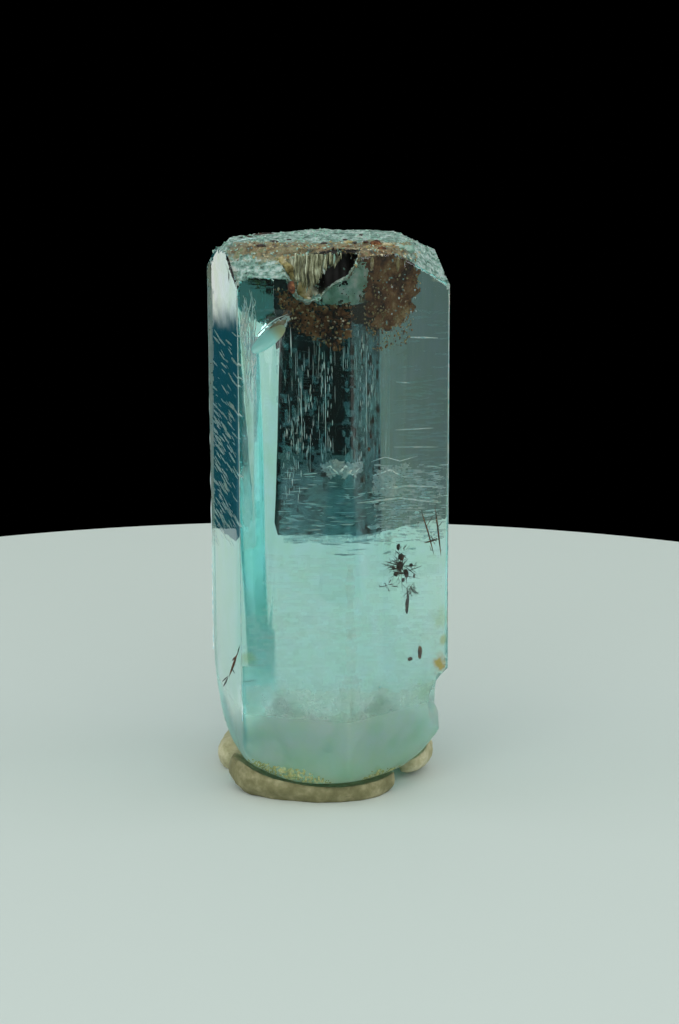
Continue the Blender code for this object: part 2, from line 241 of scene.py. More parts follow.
def mend_growth_faces(form):
    """Lay the crown's upright sides back on their growth planes, up to the line where the crown begins."""
    for side in range(6):
        turn = math.radians(PRISM_TURN + 60.0 * side)
        out = Vector((math.cos(turn), math.sin(turn), 0.0))
        reach = max(v.co.dot(out) for v in form.verts)
        moves = []
        for vert in form.verts:
            inset = reach - vert.co.dot(out)
            upright = any(f.normal.dot(out) > MEND_WITHIN for f in vert.link_faces)
            if vert.co.z > CROWN_FROM and 0.0 < inset < MEND_DEPTH and upright:
                moves.append((vert, vert.co + out * inset))
        for vert, place in moves:
            vert.co = place


def smooth_foot(form):
    """Round the foot off, the more the lower it lies."""
    for height, rounds in FOOT_ROUNDING:
        low_verts = [v for v in form.verts if v.co.z < height]
        for _ in range(rounds):
            bmesh.ops.smooth_vert(
                form, verts=low_verts, factor=0.5, use_axis_x=True, use_axis_y=True, use_axis_z=True
            )


def crystal_mesh():
    """The crystal's mesh: the prism kept flat, its crown and foot cut fine and given their relief."""
    form = bmesh.new()
    form.from_mesh(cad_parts["aquamarine_crystal"].data)
    bmesh.ops.remove_doubles(form, verts=form.verts, dist=WELD)
    for height in (CROWN_FROM, FOOT_TO):
        everything = form.verts[:] + form.edges[:] + form.faces[:]
        bmesh.ops.bisect_plane(form, geom=everything, plane_co=(0, 0, height), plane_no=(0, 0, 1))
    bmesh.ops.triangulate(form, faces=form.faces)
    split_long_edges(form, CROWN_FROM, cad_box[1].z + MM, CROWN_GRAIN)
    split_long_edges(form, cad_box[0].z - MM, FOOT_TO, FOOT_GRAIN)
    form.normal_update()
    mend_growth_faces(form)
    form.normal_update()
    etch_crown(form)
    smooth_foot(form)
    form.normal_update()
    for face in form.faces:
        face.material_index = surface_kind(face)
        face.smooth = not is_growth_face(face)
    mesh = mesh_of(form, "aquamarine")
    mesh.set_sharp_from_angle(angle=CREASE)
    return mesh


def new_material(name, numbers):
    """A node material, its tree, its shader with plain numbers on these sockets, and the place in mm."""
    material = bpy.data.materials.new(name)
    material.use_nodes = True
    tree = material.node_tree
    shader = tree.nodes["Principled BSDF"]
    for part, number in numbers.items():
        shader.inputs[part].default_value = number
    place = add_node(tree, "ShaderNodeTexCoord").outputs["Object"]
    scaled = add_node(
        tree, "ShaderNodeVectorMath", {0: place, 1: (1000.0, 1000.0, 1000.0)}, operation="MULTIPLY"
    )
    return material, tree, shader, scaled.outputs["Vector"]


def mottled(tree, place, per_mm, codes, spread=(0.34, 0.66), detail=4.0):
    """Colours that run into each other in patches, this many patches to the mm, and the pattern itself."""
    patches = add_node(
        tree, "ShaderNodeTexNoise", {"Vector": place, "Scale": per_mm, "Detail": detail, "Roughness": 0.62}
    )
    tones = add_node(tree, "ShaderNodeValToRGB", {"Fac": patches.outputs["Fac"]})
    ramp = tones.color_ramp
    while len(ramp.elements) < len(codes):
        ramp.elements.new(0.5)
    for number, code in enumerate(codes):
        ramp.elements[number].position = spread[0] + (spread[1] - spread[0]) * number / (len(codes) - 1)
        ramp.elements[number].color = linear(code)
    return tones.outputs["Color"], patches.outputs["Fac"]


def add_body_colour(tree):
    """Beryl's own colour: it takes red out of the light, so long ways through it look blue-green."""
    body = add_node(
        tree, "ShaderNodeVolumeAbsorption", {"Color": BERYL_COLOUR, "Density": COLOUR_DENSITY}
    )
    tree.links.new(body.outputs["Volume"], tree.nodes["Material Output"].inputs["Volume"])


crystal = put_in_scene("aquamarine", crystal_mesh())
crystal_form = bmesh.new()
crystal_form.from_mesh(crystal.data)
crystal_tree = BVHTree.FromBMesh(crystal_form)
crystal_form.free()


def sight_line(pixel):
    """The direction in which the camera sees a pixel."""
    across, down = pixel
    ray = CAMERA_TURN @ Vector((across - FRAME_WIDTH / 2.0, FRAME_HEIGHT / 2.0 - down, -FOCAL_PIXELS))
    return ray.normalized()


def seen_at(pixel, depth):
    """The place this many mm behind the crystal's skin where the camera sees a pixel, or just beside it."""
    across, down = pixel
    ray = sight_line(pixel)
    place, normal, _, _ = crystal_tree.ray_cast(CAMERA_PLACE, ray)
    while place is None:
        across += 1.0 if across < FRAME_WIDTH / 2.0 else -1.0
        down += 1.0 if down < FRAME_HEIGHT / 2.0 else -1.0
        ray = sight_line((across, down))
        place, normal, _, _ = crystal_tree.ray_cast(CAMERA_PLACE, ray)
    share = 1.0 / BERYL_IOR
    cosine = -normal.dot(ray)
    bend = share * cosine - math.sqrt(1.0 - share * share * (1.0 - cosine * cosine))
    return place + (ray * share + normal * bend).normalized() * depth * MM


# Iron stains on the foot: pixel, reach in mm and colour
FOOT_STAINS = [
    ((441, 618), 0.8, "#E2E2B8"),
    ((440, 664), 0.75, "#F0861F"),
    ((443, 640), 0.45, "#E0C080"),
    ((249, 658), 0.7, "#E2DCA4"),
    ((425, 690), 1.2, "#E4EFD0"),
    ((290, 775), 0.7, "#E0DC98"),
    ((378, 774), 0.7, "#DCDCA0"),
]


def bright_beryl():
    """Growth faces of beryl: mirror bright, faintly striated, and satin where the foot dissolved."""
    numbers = {"IOR": BERYL_IOR, "Transmission Weight": 1.0}
    material, tree, shader, place = new_material("bright beryl growth face", numbers)
    height = add_node(tree, "ShaderNodeSeparateXYZ", {0: place}).outputs["Z"]
    colour, _ = mottled(tree, place, 0.8, ("#F4FBE8", "#FFFFFF"))
    rim = add_node(tree, "ShaderNodeMapRange", {"Value": height, "From Min": 4.0, "From Max": 0.9})
    colour = add_node(
        tree,
        "ShaderNodeMix",
        {"Factor_Float": rim.outputs["Result"], "A_Color": colour, "B_Color": linear("#E2EDB4")},
        data_type="RGBA",
    ).outputs[2]
    blotch = add_node(tree, "ShaderNodeTexNoise", {"Vector": place, "Scale": 2.2, "Detail": 4.0})
    blotch = blotch.outputs["Fac"]
    for pixel, reach, code in FOOT_STAINS:
        centre = seen_at(pixel, 0.0) / MM
        away = add_node(tree, "ShaderNodeVectorMath", {0: place, 1: centre}, operation="DISTANCE")
        ragged = add_node(
            tree,
            "ShaderNodeMath",
            {0: blotch, 1: 1.6 * reach, 2: away.outputs["Value"]},
            operation="MULTIPLY_ADD",
        )
        share = add_node(
            tree,
            "ShaderNodeMapRange",
            {"Value": ragged.outputs[0], "From Min": 1.75 * reach, "From Max": 1.05 * reach},
        )
        colour = add_node(
            tree,
            "ShaderNodeMix",
            {"Factor_Float": share.outputs["Result"], "A_Color": colour, "B_Color": linear(code)},
            data_type="RGBA",
        ).outputs[2]
    tree.links.new(colour, shader.inputs["Base Color"])
    satin = add_node(
        tree,
        "ShaderNodeMapRange",
        {"Value": height, "From Min": 13.0, "From Max": 1.2, "To Min": 0.012, "To Max": 0.42},
    )
    tree.links.new(satin.outputs["Result"], shader.inputs["Roughness"])
    drawn = add_node(tree, "ShaderNodeMapping", {"Vector": place, "Scale": (2.4, 2.4, 0.16)})
    striae = add_node(
        tree, "ShaderNodeTexNoise", {"Vector": drawn.outputs["Vector"], "Scale": 1.0, "Detail": 3.0}
    )
    swell = add_node(tree, "ShaderNodeTexNoise", {"Vector": place, "Scale": 0.55, "Detail": 1.0})
    low_wave = add_node(
        tree, "ShaderNodeBump", {"Height": swell.outputs["Fac"], "Strength": 1.0, "Distance": 0.003 * MM}
    )
    line_wave = add_node(
        tree,
        "ShaderNodeBump",
        {
            "Height": striae.outputs["Fac"],
            "Strength": 1.0,
            "Distance": 0.0022 * MM,
            "Normal": low_wave.outputs["Normal"],
        },
    )
    tree.links.new(line_wave.outputs["Normal"], shader.inputs["Normal"])
    add_body_colour(tree)
    return material


def etched_beryl():
    """Etched crown: frosted pale green, with tan and brown iron stain in its hollows at the front."""
    numbers = {"IOR": BERYL_IOR, "Transmission Weight": 0.52, "Roughness": 0.55}
    material, tree, shader, place = new_material("etched beryl crown", numbers)
    frost, _ = mottled(tree, place, 2.6, ("#3F5F50", "#9DC2B2", "#F4FFFA"), (0.36, 0.6), 7.0)
    rust, patches = mottled(
        tree, place, 1.5, ("#33200F", "#86663A", "#BCA47C", "#8E9464"), (0.36, 0.64), 7.0
    )
    parts = add_node(tree, "ShaderNodeSeparateXYZ", {0: place})
    front = add_node(
        tree,
        "ShaderNodeMapRange",
        {"Value": parts.outputs["Y"], "From Min": 0.5, "From Max": -3.2, "To Min": 0.0, "To Max": 0.34},
        interpolation_type="SMOOTHSTEP",
    )
    high = add_node(
        tree,
        "ShaderNodeMapRange",
        {"Value": parts.outputs["Z"], "From Min": 32.0, "From Max": 32.6, "To Min": -0.3, "To Max": 0.0},
    )
    patch = add_node(tree, "ShaderNodeMath", {0: patches, 1: front.outputs["Result"]}, operation="ADD")
    patch = add_node(
        tree, "ShaderNodeMath", {0: patch.outputs[0], 1: high.outputs["Result"]}, operation="ADD"
    )
    share = add_node(
        tree, "ShaderNodeMapRange", {"Value": patch.outputs[0], "From Min": 0.62, "From Max": 0.74}
    )
    colour = add_node(
        tree,
        "ShaderNodeMix",
        {"Factor_Float": share.outputs["Result"], "A_Color": frost, "B_Color": rust},
        data_type="RGBA",
    )
    tree.links.new(colour.outputs[2], shader.inputs["Base Color"])
    grain = add_node(tree, "ShaderNodeTexVoronoi", {"Vector": place, "Scale": 4.5})
    bump = add_node(
        tree,
        "ShaderNodeBump",
        {"Height": grain.outputs["Distance"], "Strength": 1.0, "Distance": 0.11 * MM},
    )
    tree.links.new(bump.outputs["Normal"], shader.inputs["Normal"])
    add_body_colour(tree)
    return material


def pit_wall():
    """Pit wall: fluted frosted beryl under a thin olive crust, painted near black deep in the cave for the
    shade there.
    """
    numbers = {"IOR": BERYL_IOR, "Roughness": 0.6}
    material, tree, shader, place = new_material("crusted etch pit", numbers)
    drawn = add_node(tree, "ShaderNodeMapping", {"Vector": place, "Scale": (1.0, 1.0, 0.28)})
    crust, _ = mottled(
        tree, drawn.outputs["Vector"], 3.4, ("#2A2E22", "#6A6B52", "#A0A48C", "#D6DEC8"), (0.36, 0.66), 5.0
    )
    # Painted shade: the wall goes near black close to the cave's heart and shows its crust further out
    away = add_node(tree, "ShaderNodeVectorMath", {0: place, 1: CAVE_HEART}, operation="DISTANCE")
    depth = add_node(
        tree,
        "ShaderNodeMapRange",
        {"Value": away.outputs["Value"], "From Min": CAVE_SHADE_TO, "From Max": CAVE_CRUST_FROM},
        interpolation_type="SMOOTHSTEP",
    )
    colour = add_node(
        tree,
        "ShaderNodeMix",
        {"Factor_Float": depth.outputs["Result"], "A_Color": linear("#070504"), "B_Color": crust},
        data_type="RGBA",
    )
    tree.links.new(colour.outputs[2], shader.inputs["Base Color"])
    return material


def shell_break():
    """Shell-shaped break: fresh satin beryl, pale aqua, with a yellow-brown stain at its upper end."""
    numbers = {"IOR": BERYL_IOR, "Roughness": 0.35, "Transmission Weight": 0.5}
    material, tree, shader, place = new_material("shell break in beryl", numbers)
    away = add_node(tree, "ShaderNodeVectorMath", {0: place, 1: SHELL_STAIN}, operation="DISTANCE")
    stain = add_node(tree, "ShaderNodeValToRGB", {"Fac": away.outputs["Value"]})
    stain.color_ramp.elements[0].position = 0.35
    stain.color_ramp.elements[0].color = linear("#A39A4A")
    stain.color_ramp.elements[1].position = 0.8
    stain.color_ramp.elements[1].color = linear("#9FE6E0")
    tree.links.new(stain.outputs["Color"], shader.inputs["Base Color"])
    add_body_colour(tree)
    return material


for finish in (bright_beryl(), etched_beryl(), pit_wall(), shell_break()):
    crystal.data.materials.append(finish)
fix_to_root(crystal, "aquamarine", "aquamarine_crystal")


# Growth tubes, needles and healed films: hollow tubes and flat pockets of old pocket fluid, sealed in as
# the crystal grew. Tubes run upright, along the crystal. Films lie nearly level, in loose flights.
LEAST_COVER = 0.12
SCATTER_INPUTS = [
    ("Guide", "Geometry"),
    ("Density", "Float"),
    ("Size", "Vector"),
    ("Least", "Float"),
    ("Turn", "Vector"),
    ("Sway", "Vector"),
    ("Depth", "Vector"),
    ("Seed", "Int"),
    ("Host", "Object"),
    ("Cover", "Float"),
    ("Finish", "Material"),
]
THREAD_INPUTS = [("Guide", "Geometry"), ("Sides", "Int"), ("Finish", "Material")]


def new_tree(name, inputs):
    """A tree with these named inputs, which gives one piece."""
    tree = bpy.data.node_groups.new(name, "GeometryNodeTree")
    for item, kind in inputs:
        tree.interface.new_socket(name=item, in_out="INPUT", socket_type="NodeSocket" + kind)
    tree.interface.new_socket(name="Piece", in_out="OUTPUT", socket_type="NodeSocketGeometry")
    return tree


def scatter_tree(name, shape, **shape_sizes):
    """A tree that strews one stretched shape about a guide, at random depth, size and turn, in a host."""
    tree = new_tree(name, SCATTER_INPUTS)
    given = add_node(tree, "NodeGroupInput").outputs
    points = add_node(
        tree,
        "GeometryNodeDistributePointsOnFaces",
        {"Mesh": given["Guide"], "Density": given["Density"], "Seed": given["Seed"]},
    )
    spans = []
    for span in ("Depth", "Sway"):
        back = add_node(
            tree, "ShaderNodeVectorMath", {0: given[span], 1: (-1.0, -1.0, -1.0)}, operation="MULTIPLY"
        )
        chance = add_node(
            tree,
            "FunctionNodeRandomValue",
            {"Min": back.outputs["Vector"], "Max": given[span], "Seed": given["Seed"]},
            data_type="FLOAT_VECTOR",
        )
        spans.append(chance.outputs["Value"])
    moved = add_node(
        tree, "GeometryNodeSetPosition", {"Geometry": points.outputs["Points"], "Offset": spans[0]}
    )
    host = add_node(tree, "GeometryNodeObjectInfo", {"Object": given["Host"]})
    upward = add_node(
        tree,
        "GeometryNodeRaycast",
        {"Target Geometry": host.outputs["Geometry"], "Ray Direction": (0.0, 0.0, 1.0), "Ray Length": 1.0},
    )
    skin = add_node(tree, "GeometryNodeProximity", {"Geometry": host.outputs["Geometry"]})
    facing = add_node(tree, "ShaderNodeSeparateXYZ", {0: upward.outputs["Hit Normal"]})
    leaves = add_node(
        tree, "FunctionNodeCompare", {"A": facing.outputs["Z"], "B": 0.0}, operation="GREATER_THAN"
    )
    deep = add_node(
        tree,
        "FunctionNodeCompare",
        {"A": skin.outputs["Distance"], "B": given["Cover"]},
        operation="GREATER_THAN",
    )
    inside = add_node(
        tree, "FunctionNodeBooleanMath", {0: leaves.outputs[0], 1: deep.outputs[0]}, operation="AND"
    )
    kept = add_node(
        tree,
        "GeometryNodeSeparateGeometry",
        {"Geometry": moved.outputs["Geometry"], "Selection": inside.outputs[0]},
        domain="POINT",
    )
    turn = add_node(tree, "ShaderNodeVectorMath", {0: given["Turn"], 1: spans[1]}, operation="ADD")
    scale = add_node(
        tree,
        "FunctionNodeRandomValue",
        {"Min": given["Least"], "Max": 1.0, "Seed": given["Seed"]},
        data_type="FLOAT",
    )
    size = add_node(
        tree, "ShaderNodeVectorMath", {0: given["Size"], "Scale": scale.outputs["Value"]}, operation="SCALE"
    )
    one = add_node(tree, shape, shape_sizes)
    strewn = add_node(
        tree,
        "GeometryNodeInstanceOnPoints",
        {
            "Points": kept.outputs["Selection"],
            "Instance": one.outputs["Mesh"],
            "Rotation": turn.outputs["Vector"],
            "Scale": size.outputs["Vector"],
        },
    )
    real = add_node(tree, "GeometryNodeRealizeInstances", {"Geometry": strewn.outputs["Instances"]})
    made = add_node(
        tree, "GeometryNodeSetMaterial", {"Geometry": real.outputs["Geometry"], "Material": given["Finish"]}
    )
    add_node(tree, "NodeGroupOutput", {"Piece": made.outputs["Geometry"]})
    return tree


def thread_tree(name):
    """A tree that makes each stroke of a guide a round, tapering thread."""
    tree = new_tree(name, THREAD_INPUTS)
    given = add_node(tree, "NodeGroupInput").outputs
    line = add_node(tree, "GeometryNodeMeshToCurve", {"Mesh": given["Guide"]})
    thickness = add_node(tree, "GeometryNodeInputNamedAttribute", {"Name": "thickness"}, data_type="FLOAT")
    outline = add_node(
        tree, "GeometryNodeCurvePrimitiveCircle", {"Resolution": given["Sides"], "Radius": 1.0}
    )
    swept = add_node(
        tree,
        "GeometryNodeCurveToMesh",
        {
            "Curve": line.outputs["Curve"],
            "Profile Curve": outline.outputs["Curve"],
            "Fill Caps": True,
            "Scale": thickness.outputs["Attribute"],
        },
    )
    real = add_node(tree, "GeometryNodeRealizeInstances", {"Geometry": swept.outputs["Mesh"]})
    made = add_node(
        tree, "GeometryNodeSetMaterial", {"Geometry": real.outputs["Geometry"], "Material": given["Finish"]}
    )
    add_node(tree, "NodeGroupOutput", {"Piece": made.outputs["Geometry"]})
    return tree


def grow(name, guide, tree, values):
    """Run a tree on a guide mesh, keep what it makes as one plain mesh, and fix that to the specimen."""
    piece = put_in_scene(name, guide)
    modifier = piece.modifiers.new(name, "NODES")
    modifier.node_group = tree
    for item in tree.interface.items_tree:
        if item.in_out == "INPUT" and item.name in values:
            modifier[item.identifier] = values[item.name]
    evaluated = piece.evaluated_get(bpy.context.evaluated_depsgraph_get())
    made = bpy.data.meshes.new_from_object(evaluated)
    piece.modifiers.clear()
    piece.data = made
    made.name = name
    fix_to_root(piece, "aquamarine")


def panes(outlines):
    """A guide mesh with one flat pane for each outline, given as a depth in mm and pixels."""
    form = bmesh.new()
    for depth, pixels in outlines:
        form.faces.new([form.verts.new(seen_at(pixel, depth)) for pixel in pixels])
    return mesh_of(form, "panes")


def upright_panes(rows):
    """A guide mesh of upright panes: depth in mm, then left, right, top and bottom in pixels."""
    return panes(
        [
            (depth, [(left, top), (right, top), (right, bottom), (left, bottom)])
            for depth, left, right, top, bottom in rows
        ]
    )


def strokes_guide(strokes):
    """A guide mesh of strokes, each a list of places with a thickness in mm."""
    guide = bpy.data.meshes.new("strokes")
    places = [place for stroke in strokes for place, _ in stroke]
    edges = []
    first = 0
    for stroke in strokes:
        edges += [(first + step, first + step + 1) for step in range(len(stroke) - 1)]
        first += len(stroke)
    guide.from_pydata(places, edges, [])
    thickness = guide.attributes.new("thickness", "FLOAT", "POINT")
    thickness.data.foreach_set("value", [t * MM for stroke in strokes for _, t in stroke])
    return guide


def stroke_through(pixels, depth, thickness, steps=4):
    """A stroke through pixels at a depth in mm, thickest in its middle."""
    stroke = []
    last = (len(pixels) - 1) * steps
    for step in range(last + 1):
        leg = min(step // steps, len(pixels) - 2)
        share = step / steps - leg
        pixel = [a + (b - a) * share for a, b in zip(pixels[leg], pixels[leg + 1])]
        taper = 0.2 + 0.8 * math.sin(math.pi * step / last)
        stroke.append((seen_at(pixel, depth), thickness * taper))
    return stroke


def clear_film():
    """Old pocket fluid in beryl: clear, but bending light another way, so it flashes or darkens."""
    numbers = {"IOR": 1.36, "Transmission Weight": 1.0}
    material, tree, shader, place = new_material("fluid film in beryl", numbers)
    bubbles, pattern = mottled(tree, place, 5.0, ("#E8F4FF", "#FFFFFF"))
    rough = add_node(tree, "ShaderNodeMapRange", {"Value": pattern, "To Min": 0.1, "To Max": 0.55})
    tree.links.new(bubbles, shader.inputs["Base Color"])
    tree.links.new(rough.outputs["Result"], shader.inputs["Roughness"])
    return material


def mottled_finish(name, numbers, per_mm, codes, spread=(0.34, 0.66), detail=4.0):
    """A finish with plain numbers on its shader's sockets and one colour that runs in patches."""
    material, tree, shader, place = new_material(name, numbers)
    colour, _ = mottled(tree, place, per_mm, codes, spread, detail)
    tree.links.new(colour, shader.inputs["Base Color"])
    return material


film = clear_film()
# Dry growth tubes and healed cracks: their rough walls scatter light, so they look blue-white
tube = mottled_finish(
    "dry growth tube", {"Roughness": 0.4, "IOR": 1.4}, 2.5, ("#A9DCE6", "#EAFBFF", "#FFFFFF")
)
# Healed cracks full of pinhead pockets: milky, with light from behind coming softly through
veil = mottled_finish(
    "healed veil", {"Roughness": 0.6, "IOR": 1.45, "Transmission Weight": 0.6}, 2.5, ("#DDF6F8", "#FFFFFF")
)
# Mists of pockets too small to tell apart: each scatters a share of the light and lets the rest by
blue_mist = mottled_finish(
    "blue mist of pockets", {"Roughness": 0.9, "Alpha": 0.24}, 0.9, ("#74C6D6", "#98E0EA")
)
milk = mottled_finish(
    "milky mist of pockets", {"Roughness": 0.9, "Alpha": 0.13}, 0.9, ("#D5F2F0", "#FFFFFF")
)
foot_milk = mottled_finish(
    "milky haze of the dissolved foot", {"Roughness": 0.9, "Alpha": 0.26}, 0.9, ("#D2F2DC", "#FFFFFF")
)
frost = mottled_finish(
    "dense white mist of pockets", {"Roughness": 0.9, "Alpha": 0.5}, 0.9, ("#C4E8F4", "#FFFFFF")
)
spindles = scatter_tree("strewn spindles", "GeometryNodeMeshUVSphere", Segments=6, Rings=4, Radius=1.0)
grains = scatter_tree("strewn grains", "GeometryNodeMeshIcoSphere", Radius=1.0, Subdivisions=1)
threads = thread_tree("threads")
PER_SQUARE_MM = 1.0e6


def grow_threads(name, strokes, sides, finish):
    """Make strokes round threads with this many sides, in one piece."""
    grow(name, strokes_guide(strokes), threads, {"Sides": sides, "Finish": finish})


# The seed of the sheets' swaying rims. Without one they would be drawn anew each time the script runs.
RIM_SEED = 5
noise.seed_set(RIM_SEED)
SHEET_PITCH = 1.5
SHEET_THICKNESS = 0.03 * MM
CELL_CORNERS = ((0, 0), (0, 1), (1, 1), (1, 0))
NO_TURN = (0.0, 0.0, 0.0)


def strew(
    name, guide, tree, finish, seed, density, size, least, sway, depth, cover=LEAST_COVER, turn=NO_TURN
):
    """Strew shapes about a guide: so many to the square mm, and their half sizes, depth and cover in mm."""
    values = {
        "Density": density * PER_SQUARE_MM,
        "Size": Vector(size) * MM,
        "Least": least,
        "Turn": turn,
        "Sway": sway,
        "Depth": tuple(part * MM for part in depth),
        "Seed": seed,
        "Host": crystal,
        "Cover": cover * MM,
        "Finish": finish,
    }
    grow(name, guide, tree, values)


def inside_outline(pixel, outline):
    """Whether a pixel is inside an outline."""
    across, down = pixel
    inside = False
    for (x0, y0), (x1, y1) in zip(outline, outline[1:] + outline[:1]):
        if (y0 > down) != (y1 > down) and across < x0 + (x1 - x0) * (down - y0) / (y1 - y0):
            inside = not inside
    return inside


def ragged_sheet(name, finish, depth, outline, ragged, cover, seed, pitch=SHEET_PITCH, drawn=(3.2, 3.2)):
    """A thin uneven sheet at a depth in mm, with a ragged rim and gaps, inside an outline in pixels."""
    form = bmesh.new()
    corners = {}
    left = min(across for across, _ in outline)
    top = min(down for _, down in outline)
    columns = int((max(across for across, _ in outline) - left) / pitch) + 1
    rows = int((max(down for _, down in outline) - top) / pitch) + 1

    def corner(column, row):
        """The sheet's own point at a column and row, made when it is first asked for."""
        if (column, row) not in corners:
            spot = Vector((column / 5.0, row / 5.0, seed))
            pixel = (left + column * pitch, top + row * pitch)
            corners[column, row] = form.verts.new(seen_at(pixel, depth * (1.0 + 0.5 * noise.noise(spot))))
        return corners[column, row]

    for column in range(columns):
        for row in range(rows):
            spot = Vector((column / drawn[0], row / drawn[1], seed + 5.0))
            swing = noise.noise_vector(spot) * ragged
            pixel = (left + column * pitch + swing.x, top + row * pitch + swing.y)
            if inside_outline(pixel, outline) and noise.noise(spot * 1.7) < cover:
                form.faces.new([corner(column + a, row + b) for a, b in CELL_CORNERS])
    bmesh.ops.solidify(form, geom=form.faces[:], thickness=SHEET_THICKNESS)
    bmesh.ops.recalc_face_normals(form, faces=form.faces)
    mesh = mesh_of(form, name)
    mesh.materials.append(finish)
    fix_to_root(put_in_scene(name, mesh), "aquamarine")


# Where tubes and films are thickest: depth in mm, then left, right, top and bottom in pixels
TUBE_PANES = [
    (0.8, 296, 303, 366, 452),
    (0.8, 306, 313, 372, 454),
    (1.6, 321, 325, 356, 472),
    (1.6, 328, 332, 358, 470),
    (0.8, 360, 364, 330, 462),
    (0.8, 368, 373, 338, 410),
    (0.8, 283, 300, 415, 500),
]
FINE_TUBE_PANES = [(2.0, 280, 314, 340, 480), (2.0, 316, 334, 340, 480), (1.0, 352, 384, 330, 480)]
FILM_PANES = [(2.0, 284, 346, 500, 552), (2.0, 356, 436, 498, 548)]
SLIVER_PANES = [(0.8, 282, 348, 470, 548), (0.8, 372, 442, 468, 520), (0.8, 372, 412, 468, 500)]
DASH_PANES = [
    (0.4, 213, 236, 335, 440),
    (0.4, 213, 236, 405, 545),
    (0.4, 213, 236, 440, 540),
    (0.4, 213, 224, 400, 540),
]
LEFT_FACE_TURN = (0.0, -0.1, math.radians(103.2))
strew(
    "growth_tubes",
    upright_panes(TUBE_PANES),
    spindles,
    tube,
    seed=11,
    density=13.0,
    size=(0.024, 0.024, 0.26),
    least=0.12,
    sway=(0.09, 0.09, 3.0),
    depth=(0.1, 0.4, 0.2),
)
strew(
    "fine_tubes",
    upright_panes(FINE_TUBE_PANES),
    spindles,
    tube,
    seed=12,
    density=3.0,
    size=(0.011, 0.011, 0.7),
    least=0.1,
    sway=(0.02, 0.02, 3.0),
    depth=(0.15, 0.6, 0.2),
)
strew(
    "level_films",
    upright_panes(FILM_PANES),
    spindles,
    film,
    seed=5,
    density=2.6,
    size=(0.85, 0.34, 0.02),
    least=0.1,
    sway=(0.14, 0.08, 3.0),
    depth=(0.2, 1.2, 0.4),
)

STRIP_MILK = [(242, 352), (256, 346), (256, 545), (243, 552)]
FOOT_MILK_HIGH = [(246, 684), (300, 690), (350, 688), (400, 690), (438, 680), (440, 800), (246, 800)]
FOOT_MILK_LOW = [(246, 706), (300, 716), (350, 712), (400, 716), (438, 700), (440, 800), (246, 800)]
EDGE_FROST = [(208.4, 282), (212.6, 290), (213.2, 440), (214.2, 545), (210.5, 545), (209, 400)]
LOW_MIST = [(279, 450), (300, 442), (349, 456), (349, 542), (279, 542)]
LOWER_MIST = [(279, 472), (349, 470), (349, 542), (279, 542)]
LOWEST_MIST = [(279, 500), (349, 494), (349, 541), (279, 541)]
FAINT_MIST = [(279, 335), (330, 335), (332, 450), (279, 450)]
RIGHT_MIST = [(352, 322), (379, 330), (380, 542), (352, 542)]
STREAKED_MIST = [(374, 464), (440, 470), (446, 540), (374, 545)]
UPPER_CLOUD = [(268, 549), (440, 549), (440, 640), (262, 640)]
MIDDLE_CLOUD = [(248, 615), (440, 610), (436, 705), (250, 705)]
FOOT_CLOUD = [(250, 680), (430, 680), (420, 740), (330, 775), (262, 750)]
# Sheets of mist: name, finish, depth in mm, outline, raggedness, fullness, seed, pitch and drawing out
MIST_SHEETS = [
    ("strip_milk", milk, 0.25, STRIP_MILK, 2.5, 0.4, 17.0, 1.2, (2.4, 12.0)),
    ("strip_milk_back", milk, 0.5, STRIP_MILK, 2.5, 0.4, 18.0, 1.2, (2.4, 12.0)),
    ("foot_milk_high", foot_milk, 0.3, FOOT_MILK_HIGH, 9.0, 0.75, 30.0, 1.6, (5.0, 3.2)),
    ("foot_milk_low", foot_milk, 0.6, FOOT_MILK_LOW, 9.0, 0.8, 31.0, 1.6, (5.0, 3.2)),
    ("edge_frost", frost, 0.012, EDGE_FROST, 1.0, 0.5, 19.0, 0.9, (2.4, 6.0)),
    ("mist_low", blue_mist, 1.0, LOW_MIST, 8.0, 0.3, 20.0, 2.2, (6.0, 3.0)),
    ("mist_lower", blue_mist, 1.7, LOWER_MIST, 6.0, 0.12, 21.0, 2.2, (7.0, 2.2)),
    ("mist_lowest", blue_mist, 2.4, LOWEST_MIST, 5.0, 0.1, 22.0, 2.2, (8.0, 1.6)),
    ("mist_faint", blue_mist, 1.4, FAINT_MIST, 4.0, -0.2, 23.0, 2.2, (2.2, 8.0)),
    ("mist_right", blue_mist, 0.8, RIGHT_MIST, 3.0, 0.3, 24.0, 2.2, (2.6, 12.0)),
    ("mist_right_back", blue_mist, 1.5, RIGHT_MIST, 3.0, 0.0, 25.0, 2.2, (2.2, 8.0)),
    ("mist_streaked", frost, 0.9, STREAKED_MIST, 8.0, -0.05, 26.0, 1.1, (16.0, 1.7)),
    ("cloud_upper", milk, 1.2, UPPER_CLOUD, 12.0, 0.05, 27.0, 3.0, (8.0, 2.0)),
    ("cloud_middle", milk, 1.6, MIDDLE_CLOUD, 12.0, 0.05, 28.0, 3.0, (7.0, 2.6)),
    ("cloud_foot", milk, 2.0, FOOT_CLOUD, 12.0, 0.05, 29.0, 3.0, (6.0, 3.4)),
]
for sheet in MIST_SHEETS:
    ragged_sheet(*sheet)
strew(
    "healed_slivers",
    upright_panes(SLIVER_PANES),
    spindles,
    tube,
    seed=8,
    density=3.6,
    size=(0.55, 0.08, 0.014),
    least=0.12,
    sway=(0.3, 0.12, 0.5),
    depth=(0.2, 0.7, 0.3),
)
strew(
    "left_face_dashes",
    upright_panes(DASH_PANES),
    spindles,
    tube,
    seed=21,
    density=1.25,
    size=(1.15, 0.09, 0.08),
    least=0.22,
    sway=(0.2, 0.1, 0.03),
    depth=(0.05, 0.3, 0.3),
    cover=0.03,
    turn=LEFT_FACE_TURN,
)
